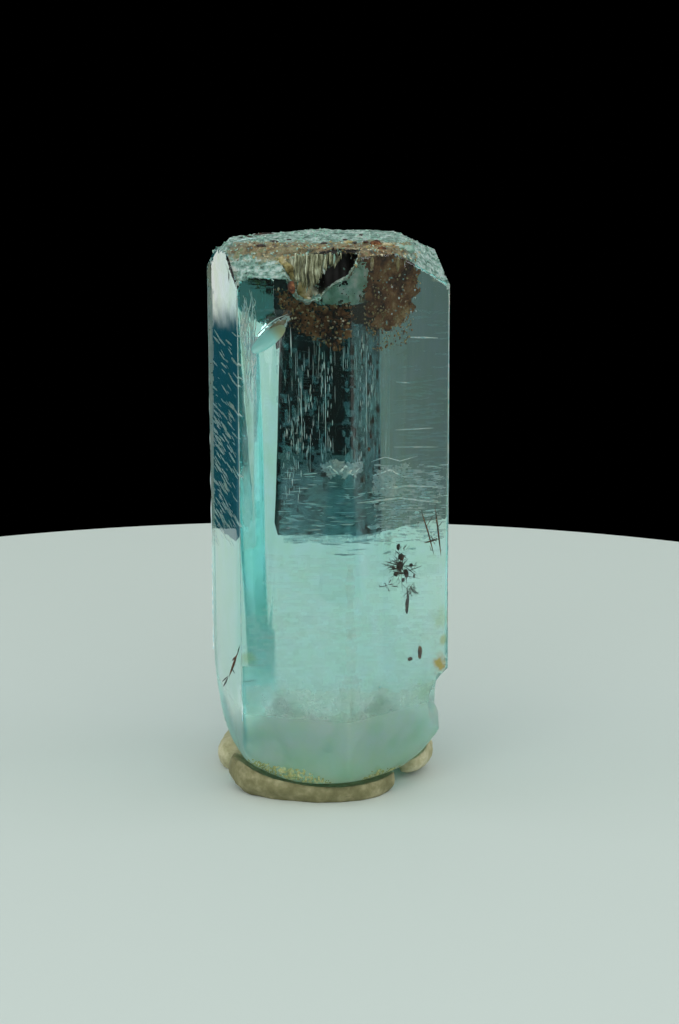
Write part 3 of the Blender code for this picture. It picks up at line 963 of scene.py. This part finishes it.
# Healed cracks: pixels, depth and thickness in mm
CRACK_STROKES = [
    ([(254, 343), (258, 334), (266, 326), (276, 319), (288, 314)], 0.04, 0.045),
    ([(258, 352), (266, 349), (273, 341), (279, 332), (288, 320)], 0.04, 0.035),
    ([(236, 241), (246, 239.2), (256, 238.6)], 0.0, 0.04),
    ([(225, 262), (229, 273), (231, 284)], 0.12, 0.035),
    ([(236, 290), (237, 330)], 0.1, 0.03),
    ([(291, 328), (291.5, 357)], 0.5, 0.035),
    ([(406, 337), (438, 338)], 0.5, 0.06),
    ([(396, 382), (410, 383)], 0.5, 0.03),
    ([(395, 430), (433, 428)], 0.6, 0.04),
    ([(394, 447), (438, 447)], 0.6, 0.035),
    ([(371, 462), (385, 457), (400, 461), (418, 456)], 0.7, 0.035),
    ([(322, 470), (330, 466), (338, 474), (345, 466), (353, 475), (360, 468)], 0.5, 0.06),
    ([(375, 489), (405, 486), (440, 487)], 0.6, 0.05),
    ([(358, 503), (400, 498), (440, 503)], 0.6, 0.06),
    ([(372, 476), (390, 470), (406, 478)], 0.6, 0.06),
    ([(366, 340), (367, 460)], 0.6, 0.02),
    ([(325, 362), (326, 466)], 1.8, 0.02),
    ([(301, 372), (302, 448)], 1.2, 0.02),
]
grow_threads("healed_cracks", [stroke_through(*stroke) for stroke in CRACK_STROKES], 6, tube)

chance = random.Random(7)
STREAK_STRIP = (241, 256)
STREAK_TOPS = (288, 350)
STREAK_LENGTHS = (20, 70)
STREAKS_END = 404


def wavy_streaks(count, thickness):
    """Upright wavy strokes in the strip beside the left front edge."""
    strokes = []
    for _ in range(count):
        across = chance.uniform(*STREAK_STRIP)
        top = chance.uniform(*STREAK_TOPS)
        bottom = min(STREAKS_END, top + chance.uniform(*STREAK_LENGTHS))
        sway = chance.uniform(0.8, 2.2)
        pixels = [
            (across + sway * math.sin(1.3 * leg) + 0.8 * leg / 6.0, top + (bottom - top) * leg / 6.0)
            for leg in range(7)
        ]
        depth = chance.uniform(0.15, 0.7)
        strokes.append(stroke_through(pixels, depth, thickness * chance.uniform(0.5, 1.0), 2))
    return strokes


grow_threads("edge_streaks", wavy_streaks(34, 0.045), 5, tube)


def bruised_edge(corner, thickness, low, high=30.2, steps=90):
    """A fine white line just under an upright edge, where knocks have crushed the beryl."""
    inward = Vector((-corner[0], -corner[1], 0.0)).normalized() * 0.85 * thickness
    stroke = []
    for step in range(steps + 1):
        height = low + (high - low) * step / steps
        place = Vector((corner[0], corner[1], height)) + inward
        wear = 0.7 + 0.3 * noise.noise(Vector((corner[0], corner[1], height * 1.1)))
        stroke.append((place * MM, thickness * wear))
    return stroke


# Bruised edges: the corner's number, thickness in mm and the height where it begins
EDGE_BRUISES = [(0, 0.17, 7.0), (1, 0.03, 5.0), (3, 0.06, 9.6)]
bruises = [bruised_edge(PRISM_CORNERS[corner], width, low) for corner, width, low in EDGE_BRUISES]
grow_threads("bruised_edges", bruises, 6, tube)


# Iron oxide, clay and crusts: brown, tan and nearly black grains that pocket water carried into the etched
# crown and its cracks, where they dried as a crumbly crust in and under the beryl. White bands and chips of
# frosted beryl lie among them, and black needles of manganese oxide grew in the cracks.
def flute_crust():
    """Flutes of the pit under their crust: olive-grey, streaked down their length."""
    numbers = {"Roughness": 0.7}
    material, tree, shader, place = new_material("crusted flute", numbers)
    drawn = add_node(tree, "ShaderNodeMapping", {"Vector": place, "Scale": (1.0, 1.0, 0.3)})
    codes = ("#24281D", "#696B50", "#9A9D80", "#CBD2B8")
    colour, _ = mottled(tree, drawn.outputs["Vector"], 3.6, codes, (0.36, 0.64))
    tree.links.new(colour, shader.inputs["Base Color"])
    return material


# Limonite: earthy brown of many tones, quite matt
limonite = mottled_finish(
    "limonite crust",
    {"Roughness": 0.85},
    0.9,
    ("#2A1A10", "#6B472B", "#8F6742", "#A17F57", "#CDB48C"),
    (0.36, 0.66),
    6.0,
)
# Dried clay: tan to olive, matt, with paler crumbs
clay = mottled_finish(
    "dried pocket clay", {"Roughness": 0.9}, 1.7, ("#6E623C", "#9C9262", "#AFA587", "#DDD4BA"), detail=5.0
)
# Chips of etched beryl: pale aqua, sugary and a little see-through
chip = mottled_finish(
    "frosted beryl chip",
    {"IOR": BERYL_IOR, "Roughness": 0.4, "Transmission Weight": 0.5},
    1.5,
    ("#7FBFA8", "#B4E6D8", "#F2FFFA"),
)
add_body_colour(chip.node_tree)
# Manganese and iron oxide needles: black, going red-brown where they are thin. The same black also paints
# the shade in slits and holes of the crown
oxide_and_shade_black = mottled_finish(
    "manganese dendrite, also painted shade", {"Roughness": 0.5}, 1.6, ("#120B08", "#2A130C", "#5E2A17"), (0.4, 0.68)
)
# Iron rust on needles: orange to red-brown, earthy
rust = mottled_finish(
    "red iron rust", {"Roughness": 0.8}, 2.2, ("#22100A", "#482515", "#714428", "#9C7046"), (0.36, 0.66)
)
# Yellow iron ochre in the roughness of the foot: pale yellow-green, matt
ochre = mottled_finish("yellow ochre crust", {"Roughness": 0.85}, 2.0, ("#A3A76C", "#C6C88E", "#E2E3B6"))
flute = flute_crust()

BROWN_OUTLINE = [
    (361, 254), (376, 250), (392, 252), (405, 258), (416, 267), (419, 284), (412, 298),
    (411, 312), (402, 324), (388, 330), (374, 326), (366, 310), (362, 290), (359, 272),
]
SPECKLE_OUTLINE = [(364, 308), (410, 302), (414, 330), (402, 348), (374, 350), (366, 330)]
UNDER_PIT_OUTLINE = [
    (276, 288), (296, 294), (312, 302), (330, 304), (348, 298),
    (349, 330), (338, 350), (322, 342), (300, 332), (284, 320),
]
LIP_OUTLINE = [
    (332, 289), (346, 282), (353, 268), (363, 262), (369, 276),
    (363, 292), (355, 304), (344, 301), (330, 303),
]
JAGGED_BAND = [
    (320, 464), (336, 459), (350, 463), (363, 461), (363, 470), (356, 476),
    (350, 470), (344, 480), (337, 472), (330, 478), (322, 470),
]
BRIGHT_PLANE = [(372, 474), (386, 467), (410, 462), (404, 472), (396, 482), (398, 494), (373, 495)]
SHELL_OUTLINE = [
    (252, 348), (256, 338), (264, 329), (274, 322), (287, 315), (290, 318),
    (283, 329), (276, 339), (270, 346), (262, 352), (255, 353),
]
SHELL_CORE = [(266, 334), (270, 326), (278, 321), (286, 318), (284, 326), (278, 332), (271, 336)]
LEFT_LIP_PATCH = [(321, 293), (329, 286), (339, 287), (340, 294), (333, 304), (322, 303)]
RIGHT_LIP_PATCH = [(347, 286), (353, 277), (360, 270), (366, 272), (361, 288), (357, 302), (350, 305)]
CORNER_CRUST = [(226, 255), (231, 260), (236, 270), (239, 283), (239, 292), (235, 282), (229, 268)]
LEFT_FOOT_CRUST = [
    (246, 759), (262, 762), (276, 767), (292, 768), (306, 773), (320, 777), (334, 782),
    (330, 787), (318, 785), (300, 780), (285, 776), (262, 771), (248, 765),
]
RIGHT_FOOT_CRUST = [(362, 777), (376, 772), (392, 766), (402, 762), (400, 770), (380, 779), (364, 783)]
# Crusts and bands: name, finish, depth in mm, outline, raggedness, fullness, seed and pitch
CRUST_SHEETS = [
    ("brown_film", limonite, 0.35, BROWN_OUTLINE, 7.0, 0.55, 2.0),
    ("under_pit_film", limonite, 0.6, UNDER_PIT_OUTLINE, 8.0, 0.2, 4.0),
    ("lip_film", chip, 0.14, LIP_OUTLINE, 5.0, 0.5, 6.0, 1.0),
    ("jagged_band", frost, 0.5, JAGGED_BAND, 3.5, 0.5, 8.0, 0.8),
    ("bright_plane", frost, 0.6, BRIGHT_PLANE, 3.0, 0.35, 9.0, 0.8),
    ("shell_frost", veil, 0.06, SHELL_OUTLINE, 1.5, 0.9, 10.0, 0.8),
    ("shell_core", clay, 0.03, SHELL_CORE, 2.0, 0.9, 11.0, 0.8),
    ("left_lip_patch", chip, 0.05, LEFT_LIP_PATCH, 3.0, 0.6, 12.0, 0.8),
    ("right_lip_patch", chip, 0.05, RIGHT_LIP_PATCH, 3.0, 0.6, 13.0, 0.8),
    ("corner_crust", oxide_and_shade_black, 0.03, CORNER_CRUST, 2.0, 0.5, 14.0, 0.8),
    ("foot_crust_left", ochre, -0.03, LEFT_FOOT_CRUST, 6.0, 0.08, 15.0, 1.0),
    ("foot_crust_right", ochre, -0.03, RIGHT_FOOT_CRUST, 6.0, 0.08, 16.0, 1.0),
]
for sheet in CRUST_SHEETS:
    ragged_sheet(*sheet)

ANY_TURN = (3.2, 3.2, 3.2)
GRAIN_SIZE = (0.1, 0.08, 0.07)
BROWN_PANES = [
    (0.3, BROWN_OUTLINE),
    (0.5, SPECKLE_OUTLINE),
    (0.5, UNDER_PIT_OUTLINE),
    (1.3, UNDER_PIT_OUTLINE),
]
CLAY_PANES = [(0.25, BROWN_OUTLINE), (0.4, UNDER_PIT_OUTLINE), (0.4, SPECKLE_OUTLINE)]
strew(
    "brown_grains",
    panes(BROWN_PANES),
    grains,
    limonite,
    seed=14,
    density=20.0,
    size=GRAIN_SIZE,
    least=0.2,
    sway=ANY_TURN,
    depth=(0.12, 0.3, 0.12),
    cover=0.08,
)
strew(
    "clay_grains",
    panes(CLAY_PANES),
    grains,
    clay,
    seed=15,
    density=14.0,
    size=GRAIN_SIZE,
    least=0.2,
    sway=ANY_TURN,
    depth=(0.12, 0.25, 0.12),
    cover=0.06,
)

# Flutes that hang in the mouth of the pit: where each ends, and which are crusted
FLUTE_PLANE = -6.1 * MM
FLUTE_TOP = 256.0
FLUTE_ENDS = [(294, 284), (308, 294), (321, 282), (327, 270), (338, 268), (341, 259)]
FLUTE_STEPS = 12
CRUSTED_FROM = 295.0
FROSTED_FROM = 297.2


def on_plane(pixel, plane):
    """The place that the camera sees at a pixel on an upright plane across its view."""
    ray = sight_line(pixel)
    return CAMERA_PLACE + ray * ((plane - CAMERA_PLACE.y) / ray.y)


def pit_flutes(first, spacing):
    """Hanging flutes, each swelling and thinning on its way down, spaced in pixels across the pit."""
    strokes = []
    across = first
    while across < FLUTE_ENDS[-1][0]:
        number = max(n for n, (left, _) in enumerate(FLUTE_ENDS) if left <= across)
        (x0, y0), (x1, y1) = FLUTE_ENDS[number], FLUTE_ENDS[number + 1]
        bottom = y0 + (y1 - y0) * (across - x0) / (x1 - x0) - chance.uniform(0.0, 5.0)
        width = chance.uniform(0.06, 0.11)
        back = chance.uniform(-0.15, 0.25) * MM
        stroke = []
        top = FLUTE_TOP - chance.uniform(0.0, 3.5)
        for step in range(FLUTE_STEPS + 1):
            down = top + (bottom - top) * step / FLUTE_STEPS
            swell = 0.75 + 0.5 * noise.noise(Vector((across, down / 5.0, 0.0)))
            taper = min(1.0, (FLUTE_STEPS - step) / 3.0 + 0.25)
            pixel = (across + 0.6 * math.sin(down / 4.0), down)
            stroke.append((on_plane(pixel, FLUTE_PLANE + back), width * swell * taper))
        strokes.append(stroke)
        across += spacing * chance.uniform(0.8, 1.2)
    return strokes


grow_threads("crusted_flutes", pit_flutes(CRUSTED_FROM, 1.7), 6, flute)
grow_threads("frosted_flutes", pit_flutes(FROSTED_FROM, 9.0), 6, chip)


def skin_where(wanted):
    """A guide mesh of the crystal's own etched faces that pass a test of their middle, in mm."""
    form = bmesh.new()
    form.from_mesh(crystal.data)
    others = [
        face
        for face in form.faces
        if not (face.material_index in (1, 2) and wanted(face.calc_center_median() / MM))
    ]
    bmesh.ops.delete(form, geom=others, context="FACES")
    return mesh_of(form, "skin")


# Crumbs on the etched skin: name, where, how many to the square mm, half sizes in mm, finish and seed
CRUMBS = [
    ("rim_clay", lambda p: p.z > 32.0 and p.y < -1.5 and p.x > -4.5, 9.0, (0.13, 0.1, 0.07), clay, 31),
    ("rim_rust", lambda p: p.z > 32.0 and p.y < -2.5, 5.0, (0.12, 0.09, 0.06), limonite, 32),
    ("crown_sugar", lambda p: p.z > 30.2, 7.0, (0.13, 0.11, 0.06), chip, 33),
]
CRUMB_DEPTH = (0.02, 0.02, 0.02)
for name, where, density, size, finish, seed in CRUMBS:
    strew(name, skin_where(where), grains, finish, seed, density, size, 0.25, ANY_TURN, CRUMB_DEPTH, 0.0)


def lumps(name, finish, items):
    """Rounded, uneven lumps joined in one piece: pixel, depth, half sizes in mm and lean in degrees."""
    form = bmesh.new()
    for number, (pixel, depth, size, lean) in enumerate(items):
        made = bmesh.ops.create_icosphere(form, subdivisions=3, radius=1.0)["verts"]
        turn = Matrix.Rotation(math.radians(lean), 3, "Y")
        centre = seen_at(pixel, depth)
        for vert in made:
            uneven = 1.0 + 0.45 * noise.noise(vert.co * 1.6 + Vector((7.0 * number, 0.0, 0.0)))
            stretched = Vector([c * s for c, s in zip(vert.co * uneven, size)])
            vert.co = centre + turn @ stretched * MM
    bmesh.ops.recalc_face_normals(form, faces=form.faces)
    for face in form.faces:
        face.smooth = True
    mesh = mesh_of(form, name)
    mesh.materials.append(finish)
    fix_to_root(put_in_scene(name, mesh), "aquamarine")


# Lumps, as pixel, depth, half sizes in mm and lean in degrees
LIP_CHIPS = [
    ((408, 249), 0.06, (0.5, 0.3, 0.24), 0.0),
    ((399, 246), 0.06, (0.3, 0.25, 0.14), 0.0),
]
CLAY_LUMPS = [
    ((283, 262), 0.0, (0.26, 0.24, 0.34), -35.0),
    ((288, 268), 0.0, (0.25, 0.24, 0.4), -38.0),
    ((294, 276), 0.0, (0.26, 0.24, 0.42), -35.0),
    ((303, 290), 0.05, (0.42, 0.34, 0.5), -15.0),
    ((309, 299), 0.05, (0.3, 0.2, 0.16), 30.0),
    ((388, 245), 0.0, (0.34, 0.26, 0.12), 0.0),
    ((348, 243), 0.0, (0.3, 0.22, 0.16), 0.0),
    ((372, 262), 0.15, (0.12, 0.12, 0.42), 4.0),
    ((398, 264), 0.15, (0.13, 0.12, 0.4), 2.0),
]
RUST_LUMPS = [
    ((292, 287), 0.0, (0.22, 0.16, 0.32), -10.0),
    ((376, 244), 0.0, (0.3, 0.26, 0.22), 0.0),
    ((382, 249), 0.0, (0.26, 0.2, 0.13), 0.0),
    ((371, 436), 0.5, (0.1, 0.1, 0.12), 0.0),
    ((369, 449), 0.5, (0.1, 0.1, 0.13), 0.0),
    ((420, 652), 0.4, (0.16, 0.1, 0.38), 0.0),
    ((410, 659), 0.4, (0.18, 0.1, 0.12), 0.0),
]
# Bright specks: white grains that paint glints of light flashing from the ends of tubes and small chipped
# spots
PAINTED_GLINTS = [
    (379, 292), (392, 287), (415, 290), (399, 298), (415, 298), (416, 311), (411, 312), (392, 314),
    (336.8, 260.5), (316.7, 288), (303, 682), (328, 740), (380, 687), (218, 703), (335, 234), (347, 231),
]
lumps("pit_lip_chips", chip, LIP_CHIPS)
lumps("clay_finger", clay, CLAY_LUMPS)
lumps("rust_spots", rust, RUST_LUMPS)
# Painted highlights: small white grains for the glints
lumps("glints", tube, [(pixel, 0.2, (0.07, 0.05, 0.06), 0.0) for pixel in PAINTED_GLINTS])


def spray(centre, arms, reach, lean=0.0, spread=math.pi):
    """Needles that leave one place in many directions, each with a side needle or two."""
    strokes = []
    for _ in range(arms):
        turn = lean + chance.uniform(-spread, spread)
        length = reach * chance.uniform(0.4, 1.0)
        depth = chance.uniform(0.35, 0.8)
        start = (centre[0] + chance.uniform(-3, 3), centre[1] + chance.uniform(-5, 5))
        end = (start[0] + length * math.sin(turn), start[1] + length * math.cos(turn))
        strokes.append(stroke_through([start, end], depth, chance.uniform(0.014, 0.034)))
        for side in (-0.9, 0.8):
            if chance.random() < 0.6:
                share = chance.uniform(0.35, 0.8)
                fork = tuple(a + (b - a) * share for a, b in zip(start, end))
                twig = length * 0.35
                tip = (fork[0] + twig * math.sin(turn + side), fork[1] + twig * math.cos(turn + side))
                strokes.append(stroke_through([fork, tip], depth, 0.016))
    return strokes


# Single needles, and black threads that paint the shade in slits: pixels, depth and thickness in mm
DENDRITE_STROKES = [
    ([(407, 588), (408, 600), (407, 614)], 0.5, 0.09),
    ([(240, 645), (237, 656)], 0.02, 0.06),
    ([(228, 677), (226, 682), (223, 687)], 0.02, 0.07),
    ([(232, 668), (235, 674)], 0.02, 0.05),
    ([(228, 676), (222, 682)], 0.02, 0.05),
    ([(243, 682), (257, 680)], 0.3, 0.03),
    ([(436, 520), (438, 530)], 0.45, 0.04),
]
# Slits between the crown's stacked plates: black threads painting the shade inside them
SHADED_SLIT_STROKES = [
    ([(227, 260), (230, 268), (233, 276), (236, 287)], 0.1, 0.13),
    ([(228.5, 271), (229, 283)], 0.1, 0.1),
    ([(237, 238.5), (246, 236.8), (253, 236.5)], 0.0, 0.09),
    ([(253, 235), (263, 234), (274, 233.6)], 0.0, 0.09),
    ([(363, 254), (376, 251), (388, 253), (398, 256)], 0.1, 0.06),
]
BROWN_STROKES = [
    ([(435, 507), (438, 530), (441, 556)], 0.5, 0.07),
    ([(421, 510), (428, 532), (434, 555)], 0.5, 0.06),
    ([(424, 543), (438, 539)], 0.5, 0.06),
    ([(433, 516), (426, 527)], 0.5, 0.03),
    ([(437, 528), (443, 521)], 0.4, 0.03),
    ([(238, 652), (234, 664), (229, 677)], 0.02, 0.1),
    ([(236, 656), (232, 661)], 0.02, 0.06),
]
# Sprays of needles: centre, number and reach in pixels, and for one its lean and spread in radians
SPRAYS = [
    ((403, 570), 40, 20.0),
    ((402, 553), 9, 9.0),
    ((411, 586), 16, 16.0, 0.2, 1.1),
    ((388, 586), 8, 8.0),
]
BROWN_SPRAY = ((432, 541), 8, 7.0)
# Knots of needles, and black lumps that paint the shade in the holes along the crown's rim
KNOTS_AND_SHADED_HOLES = [
    ((398.5, 547), 0.5, (0.14, 0.08, 0.18), 0.0),
    ((401, 557), 0.5, (0.2, 0.1, 0.2), 0.0),
    ((400, 566), 0.5, (0.26, 0.12, 0.3), 15.0),
    ((406, 573), 0.5, (0.18, 0.1, 0.24), -20.0),
    ((396, 574), 0.5, (0.16, 0.08, 0.14), 0.0),
    ((407, 606), 0.5, (0.13, 0.08, 0.42), 0.0),
    ((403, 580), 0.5, (0.1, 0.08, 0.13), 0.0),
    ((393, 568), 0.5, (0.08, 0.08, 0.1), 0.0),
    ((414, 576), 0.5, (0.08, 0.08, 0.1), 0.0),
    # Holes along the crown's rim: black lumps painting the shade inside them
    ((261, 246), 0.0, (0.26, 0.3, 0.09), 0.0),
    ((274, 242), 0.0, (0.26, 0.5, 0.12), 0.0),
    ((289, 240), 0.0, (0.18, 0.3, 0.07), 0.0),
    ((324, 243.5), 0.0, (0.2, 0.3, 0.08), 0.0),
    ((345, 240), 0.0, (0.15, 0.3, 0.07), 0.0),
    ((354.6, 243), 0.0, (0.15, 0.3, 0.07), 0.0),
    ((365.5, 242), 0.0, (0.18, 0.3, 0.08), 0.0),
    ((361, 235), 0.0, (0.12, 0.3, 0.06), 0.0),
    ((411, 252), 0.0, (0.13, 0.2, 0.1), 0.0),
    ((411, 565), 0.5, (0.14, 0.08, 0.1), 0.0),
]
needles_and_slit_shade = [stroke_through(*stroke) for stroke in DENDRITE_STROKES + SHADED_SLIT_STROKES]
for one_spray in SPRAYS:
    needles_and_slit_shade += spray(*one_spray)
# The dendrites piece also holds the black threads of painted shade in the slits
grow_threads("dendrites", needles_and_slit_shade, 5, oxide_and_shade_black)
brown_needles = [stroke_through(*stroke) for stroke in BROWN_STROKES] + spray(*BROWN_SPRAY)
grow_threads("rusty_dendrites", brown_needles, 5, rust)
# One piece: the knots of needles and the painted shade of the rim holes
lumps("dendrite_knots", oxide_and_shade_black, KNOTS_AND_SHADED_HOLES)


# Mounting putty: three pinches of soft grey-beige putty, rolled between the fingers and pressed down.
# It is matt, a little greasy, and keeps the dust and the finger marks it is given.
PUTTY_DENT = 0.07 * MM
PUTTY_DENT_SIZE = 0.75 * MM
PRESSED_WITHIN = 0.75 * MM
PRESSED_GAP = 0.03 * MM
PRESSED_UP = 0.45 * MM
KEPT_FLAT_BELOW = 0.12 * MM
PUTTY_CREASE = math.radians(55.0)


def finger_pressed_putty(name, codes):
    """Kneaded putty: matt grey-beige with a faint greasy sheen, lint and soft dents."""
    numbers = {"Roughness": 0.72, "IOR": 1.48}
    material, tree, shader, place = new_material(name, numbers)
    colour, _ = mottled(tree, place, 1.1, codes, (0.3, 0.7), 5.0)
    lint = add_node(tree, "ShaderNodeTexNoise", {"Vector": place, "Scale": 14.0, "Detail": 2.0})
    speck = add_node(
        tree, "ShaderNodeMapRange", {"Value": lint.outputs["Fac"], "From Min": 0.68, "From Max": 0.72}
    )
    dusty = add_node(
        tree,
        "ShaderNodeMix",
        {"Factor_Float": speck.outputs["Result"], "A_Color": colour, "B_Color": linear("#6E6650")},
        data_type="RGBA",
    )
    tree.links.new(dusty.outputs[2], shader.inputs["Base Color"])
    dents = add_node(
        tree, "ShaderNodeTexNoise", {"Vector": place, "Scale": 3.0, "Detail": 6.0, "Roughness": 0.55}
    )
    bump = add_node(
        tree, "ShaderNodeBump", {"Height": dents.outputs["Fac"], "Strength": 0.5, "Distance": 0.08 * MM}
    )
    tree.links.new(bump.outputs["Normal"], shader.inputs["Normal"])
    return material


def pressed_wad(node, finish):
    """One wad: its solid cut finer, dented by fingers, and swollen until it meets the crystal."""
    form = bmesh.new()
    form.from_mesh(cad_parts[node].data)
    bmesh.ops.remove_doubles(form, verts=form.verts, dist=WELD)
    bmesh.ops.subdivide_edges(form, edges=form.edges, cuts=1, smooth=0.0)
    bmesh.ops.triangulate(form, faces=form.faces)
    form.normal_update()
    for vert in form.verts:
        _, _, _, distance = crystal_tree.find_nearest(vert.co)
        if distance < PRESSED_WITHIN and vert.co.z > KEPT_FLAT_BELOW:
            closer = 1.0 - max(0.0, (distance - PRESSED_WITHIN / 2.0) / (PRESSED_WITHIN / 2.0))
            vert.co.z += PRESSED_UP * closer
            near, _, _, distance = crystal_tree.find_nearest(vert.co)
            vert.co += (near - vert.co).normalized() * (distance - PRESSED_GAP) * closer
        elif vert.co.z > KEPT_FLAT_BELOW:
            vert.co -= vert.normal * PUTTY_DENT * (0.5 + 0.5 * noise.noise(vert.co / PUTTY_DENT_SIZE))
        vert.co.z = max(vert.co.z, 0.0)
    for face in form.faces:
        face.smooth = True
    mesh = mesh_of(form, node + "_pressed")
    mesh.set_sharp_from_angle(angle=PUTTY_CREASE)
    mesh.materials.append(finish)
    fix_to_root(put_in_scene(node + "_pressed", mesh), "putty", node)


# The front roll takes a darker copy of the putty, painting the shade it stands in; the pale copy is for the
# two wads
shaded_putty = finger_pressed_putty("kneaded putty darkened for shade", ("#65623F", "#7E7A57", "#A29C7A"))
pale_putty = finger_pressed_putty("pale kneaded putty", ("#8F8B66", "#ADA885", "#CDC7A8"))
pressed_wad("putty_front_roll", shaded_putty)
pressed_wad("putty_left_wad", pale_putty)
pressed_wad("putty_right_wad", pale_putty)


# Studio: a pale matt round stage that the putty stands on, and soft lamps above, in front and at both
# sides. The surroundings are plain light from each direction, black behind, because the crystal mirrors
# and bends them as much as it does the lamps.
STAGE_RADIUS = 64.4 * MM
STAGE_CENTRE = Vector((-2.39, 6.88, 0.0)) * MM
STAGE_THICKNESS = 4.0 * MM


def stage_mesh():
    """A round plate with its top at the height that the putty stands on."""
    form = bmesh.new()
    bmesh.ops.create_cone(
        form,
        cap_ends=True,
        segments=256,
        radius1=STAGE_RADIUS,
        radius2=STAGE_RADIUS,
        depth=STAGE_THICKNESS,
        matrix=Matrix.Translation(STAGE_CENTRE - Vector((0.0, 0.0, STAGE_THICKNESS / 2.0))),
    )
    return mesh_of(form, "stage")


stage = put_in_scene("stage", stage_mesh())
stage_white = new_material("matt white stage", {"Base Color": linear("#CFD8D8"), "Roughness": 0.6})[0]
stage.data.materials.append(stage_white)


def softbox(name, place, aim, size, power):
    """One large soft lamp, seen in reflections but not by the camera. Places and sizes are in mm."""
    lamp = bpy.data.lights.new(name, "AREA")
    lamp.shape = "RECTANGLE"
    lamp.size, lamp.size_y = size[0] * MM, size[1] * MM
    lamp.energy = power
    item = bpy.data.objects.new(name, lamp)
    item.location = Vector(place) * MM
    item.rotation_euler = (Vector(place) - Vector(aim)).to_track_quat("Z", "Y").to_euler()
    item.visible_camera = False
    bpy.context.scene.collection.objects.link(item)


softbox("overhead lamp", (0, 60, 260), (0, 20, 0), (320, 320), 0.056)
softbox("front lamp", (-10, -200, 110), (0, 0, 15), (280, 190), 0.176)
softbox("right lamp", (190, 0, 90), (0, 0, 15), (120, 120), 0.08)
softbox("left lamp", (-190, 0, 90), (0, 0, 15), (120, 120), 0.06)

world = bpy.data.worlds.new("studio")
world.use_nodes = True
room = world.node_tree
toward = add_node(
    room, "ShaderNodeSeparateXYZ", {0: add_node(room, "ShaderNodeTexCoord").outputs["Generated"]}
)


def within(limits):
    """Where directions lie past every limit: axis, where it starts and where it is full."""
    share = None
    for axis, start, full in limits:
        step = add_node(
            room,
            "ShaderNodeMapRange",
            {"Value": toward.outputs[axis], "From Min": start, "From Max": full},
            interpolation_type="SMOOTHSTEP",
        ).outputs["Result"]
        if share:
            step = add_node(room, "ShaderNodeMath", {0: share, 1: step}, operation="MULTIPLY").outputs[0]
        share = step
    return share


SURROUND = (0.10, 0.12, 0.11, 1.0)
# Parts of the surroundings: where each lies, as limits on the direction, and its light
ROOM_PARTS = [
    ([("X", -0.48, -0.54), ("Z", -0.19, -0.205)], (0.46, 0.54, 0.50, 1.0)),
    ([("X", 0.85, 0.92)], (0.45, 0.42, 0.33, 1.0)),
    ([("X", 0.85, 0.92), ("Y", -0.12, -0.2)], (0.72, 0.70, 0.64, 1.0)),
    ([("Y", -0.3, 0.2)], (0.17, 0.175, 0.15, 1.0)),
    ([("Y", 0.25, 0.5), ("X", -0.73, -0.68)], (0.08, 0.11, 0.115, 1.0)),
    ([("Y", 0.25, 0.5), ("X", -0.62, -0.45)], (0.0, 0.0, 0.0, 1.0)),
    ([("Y", 0.25, 0.5), ("X", 0.3, 0.5)], (0.012, 0.09, 0.13, 1.0)),
    ([("X", 0.45, 0.6), ("Y", 0.45, 0.6), ("Z", -0.143, -0.130)], (1.45, 1.15, 1.14, 1.0)),
    ([("Z", 0.02, 0.12)], (0.34, 0.385, 0.375, 1.0)),
    ([("Z", 0.3, 0.5), ("Y", -0.05, -0.3)], (1.1, 1.17, 1.0, 1.0)),
]
surround = SURROUND
for limits, tint in ROOM_PARTS:
    surround = add_node(
        room,
        "ShaderNodeMix",
        {"Factor_Float": within(limits), "A_Color": surround, "B_Color": tint},
        data_type="RGBA",
    ).outputs[2]
room.links.new(surround, room.nodes["Background"].inputs["Color"])

scene = bpy.context.scene
scene.world = world
scene.view_settings.view_transform = "Standard"
scene.cycles.max_bounces = 32
scene.cycles.transmission_bounces = 24
scene.cycles.glossy_bounces = 8
scene.cycles.diffuse_bounces = 4
scene.cycles.transparent_max_bounces = 32
scene.cycles.sample_clamp_indirect = 8.0
scene.cycles.use_denoising = True
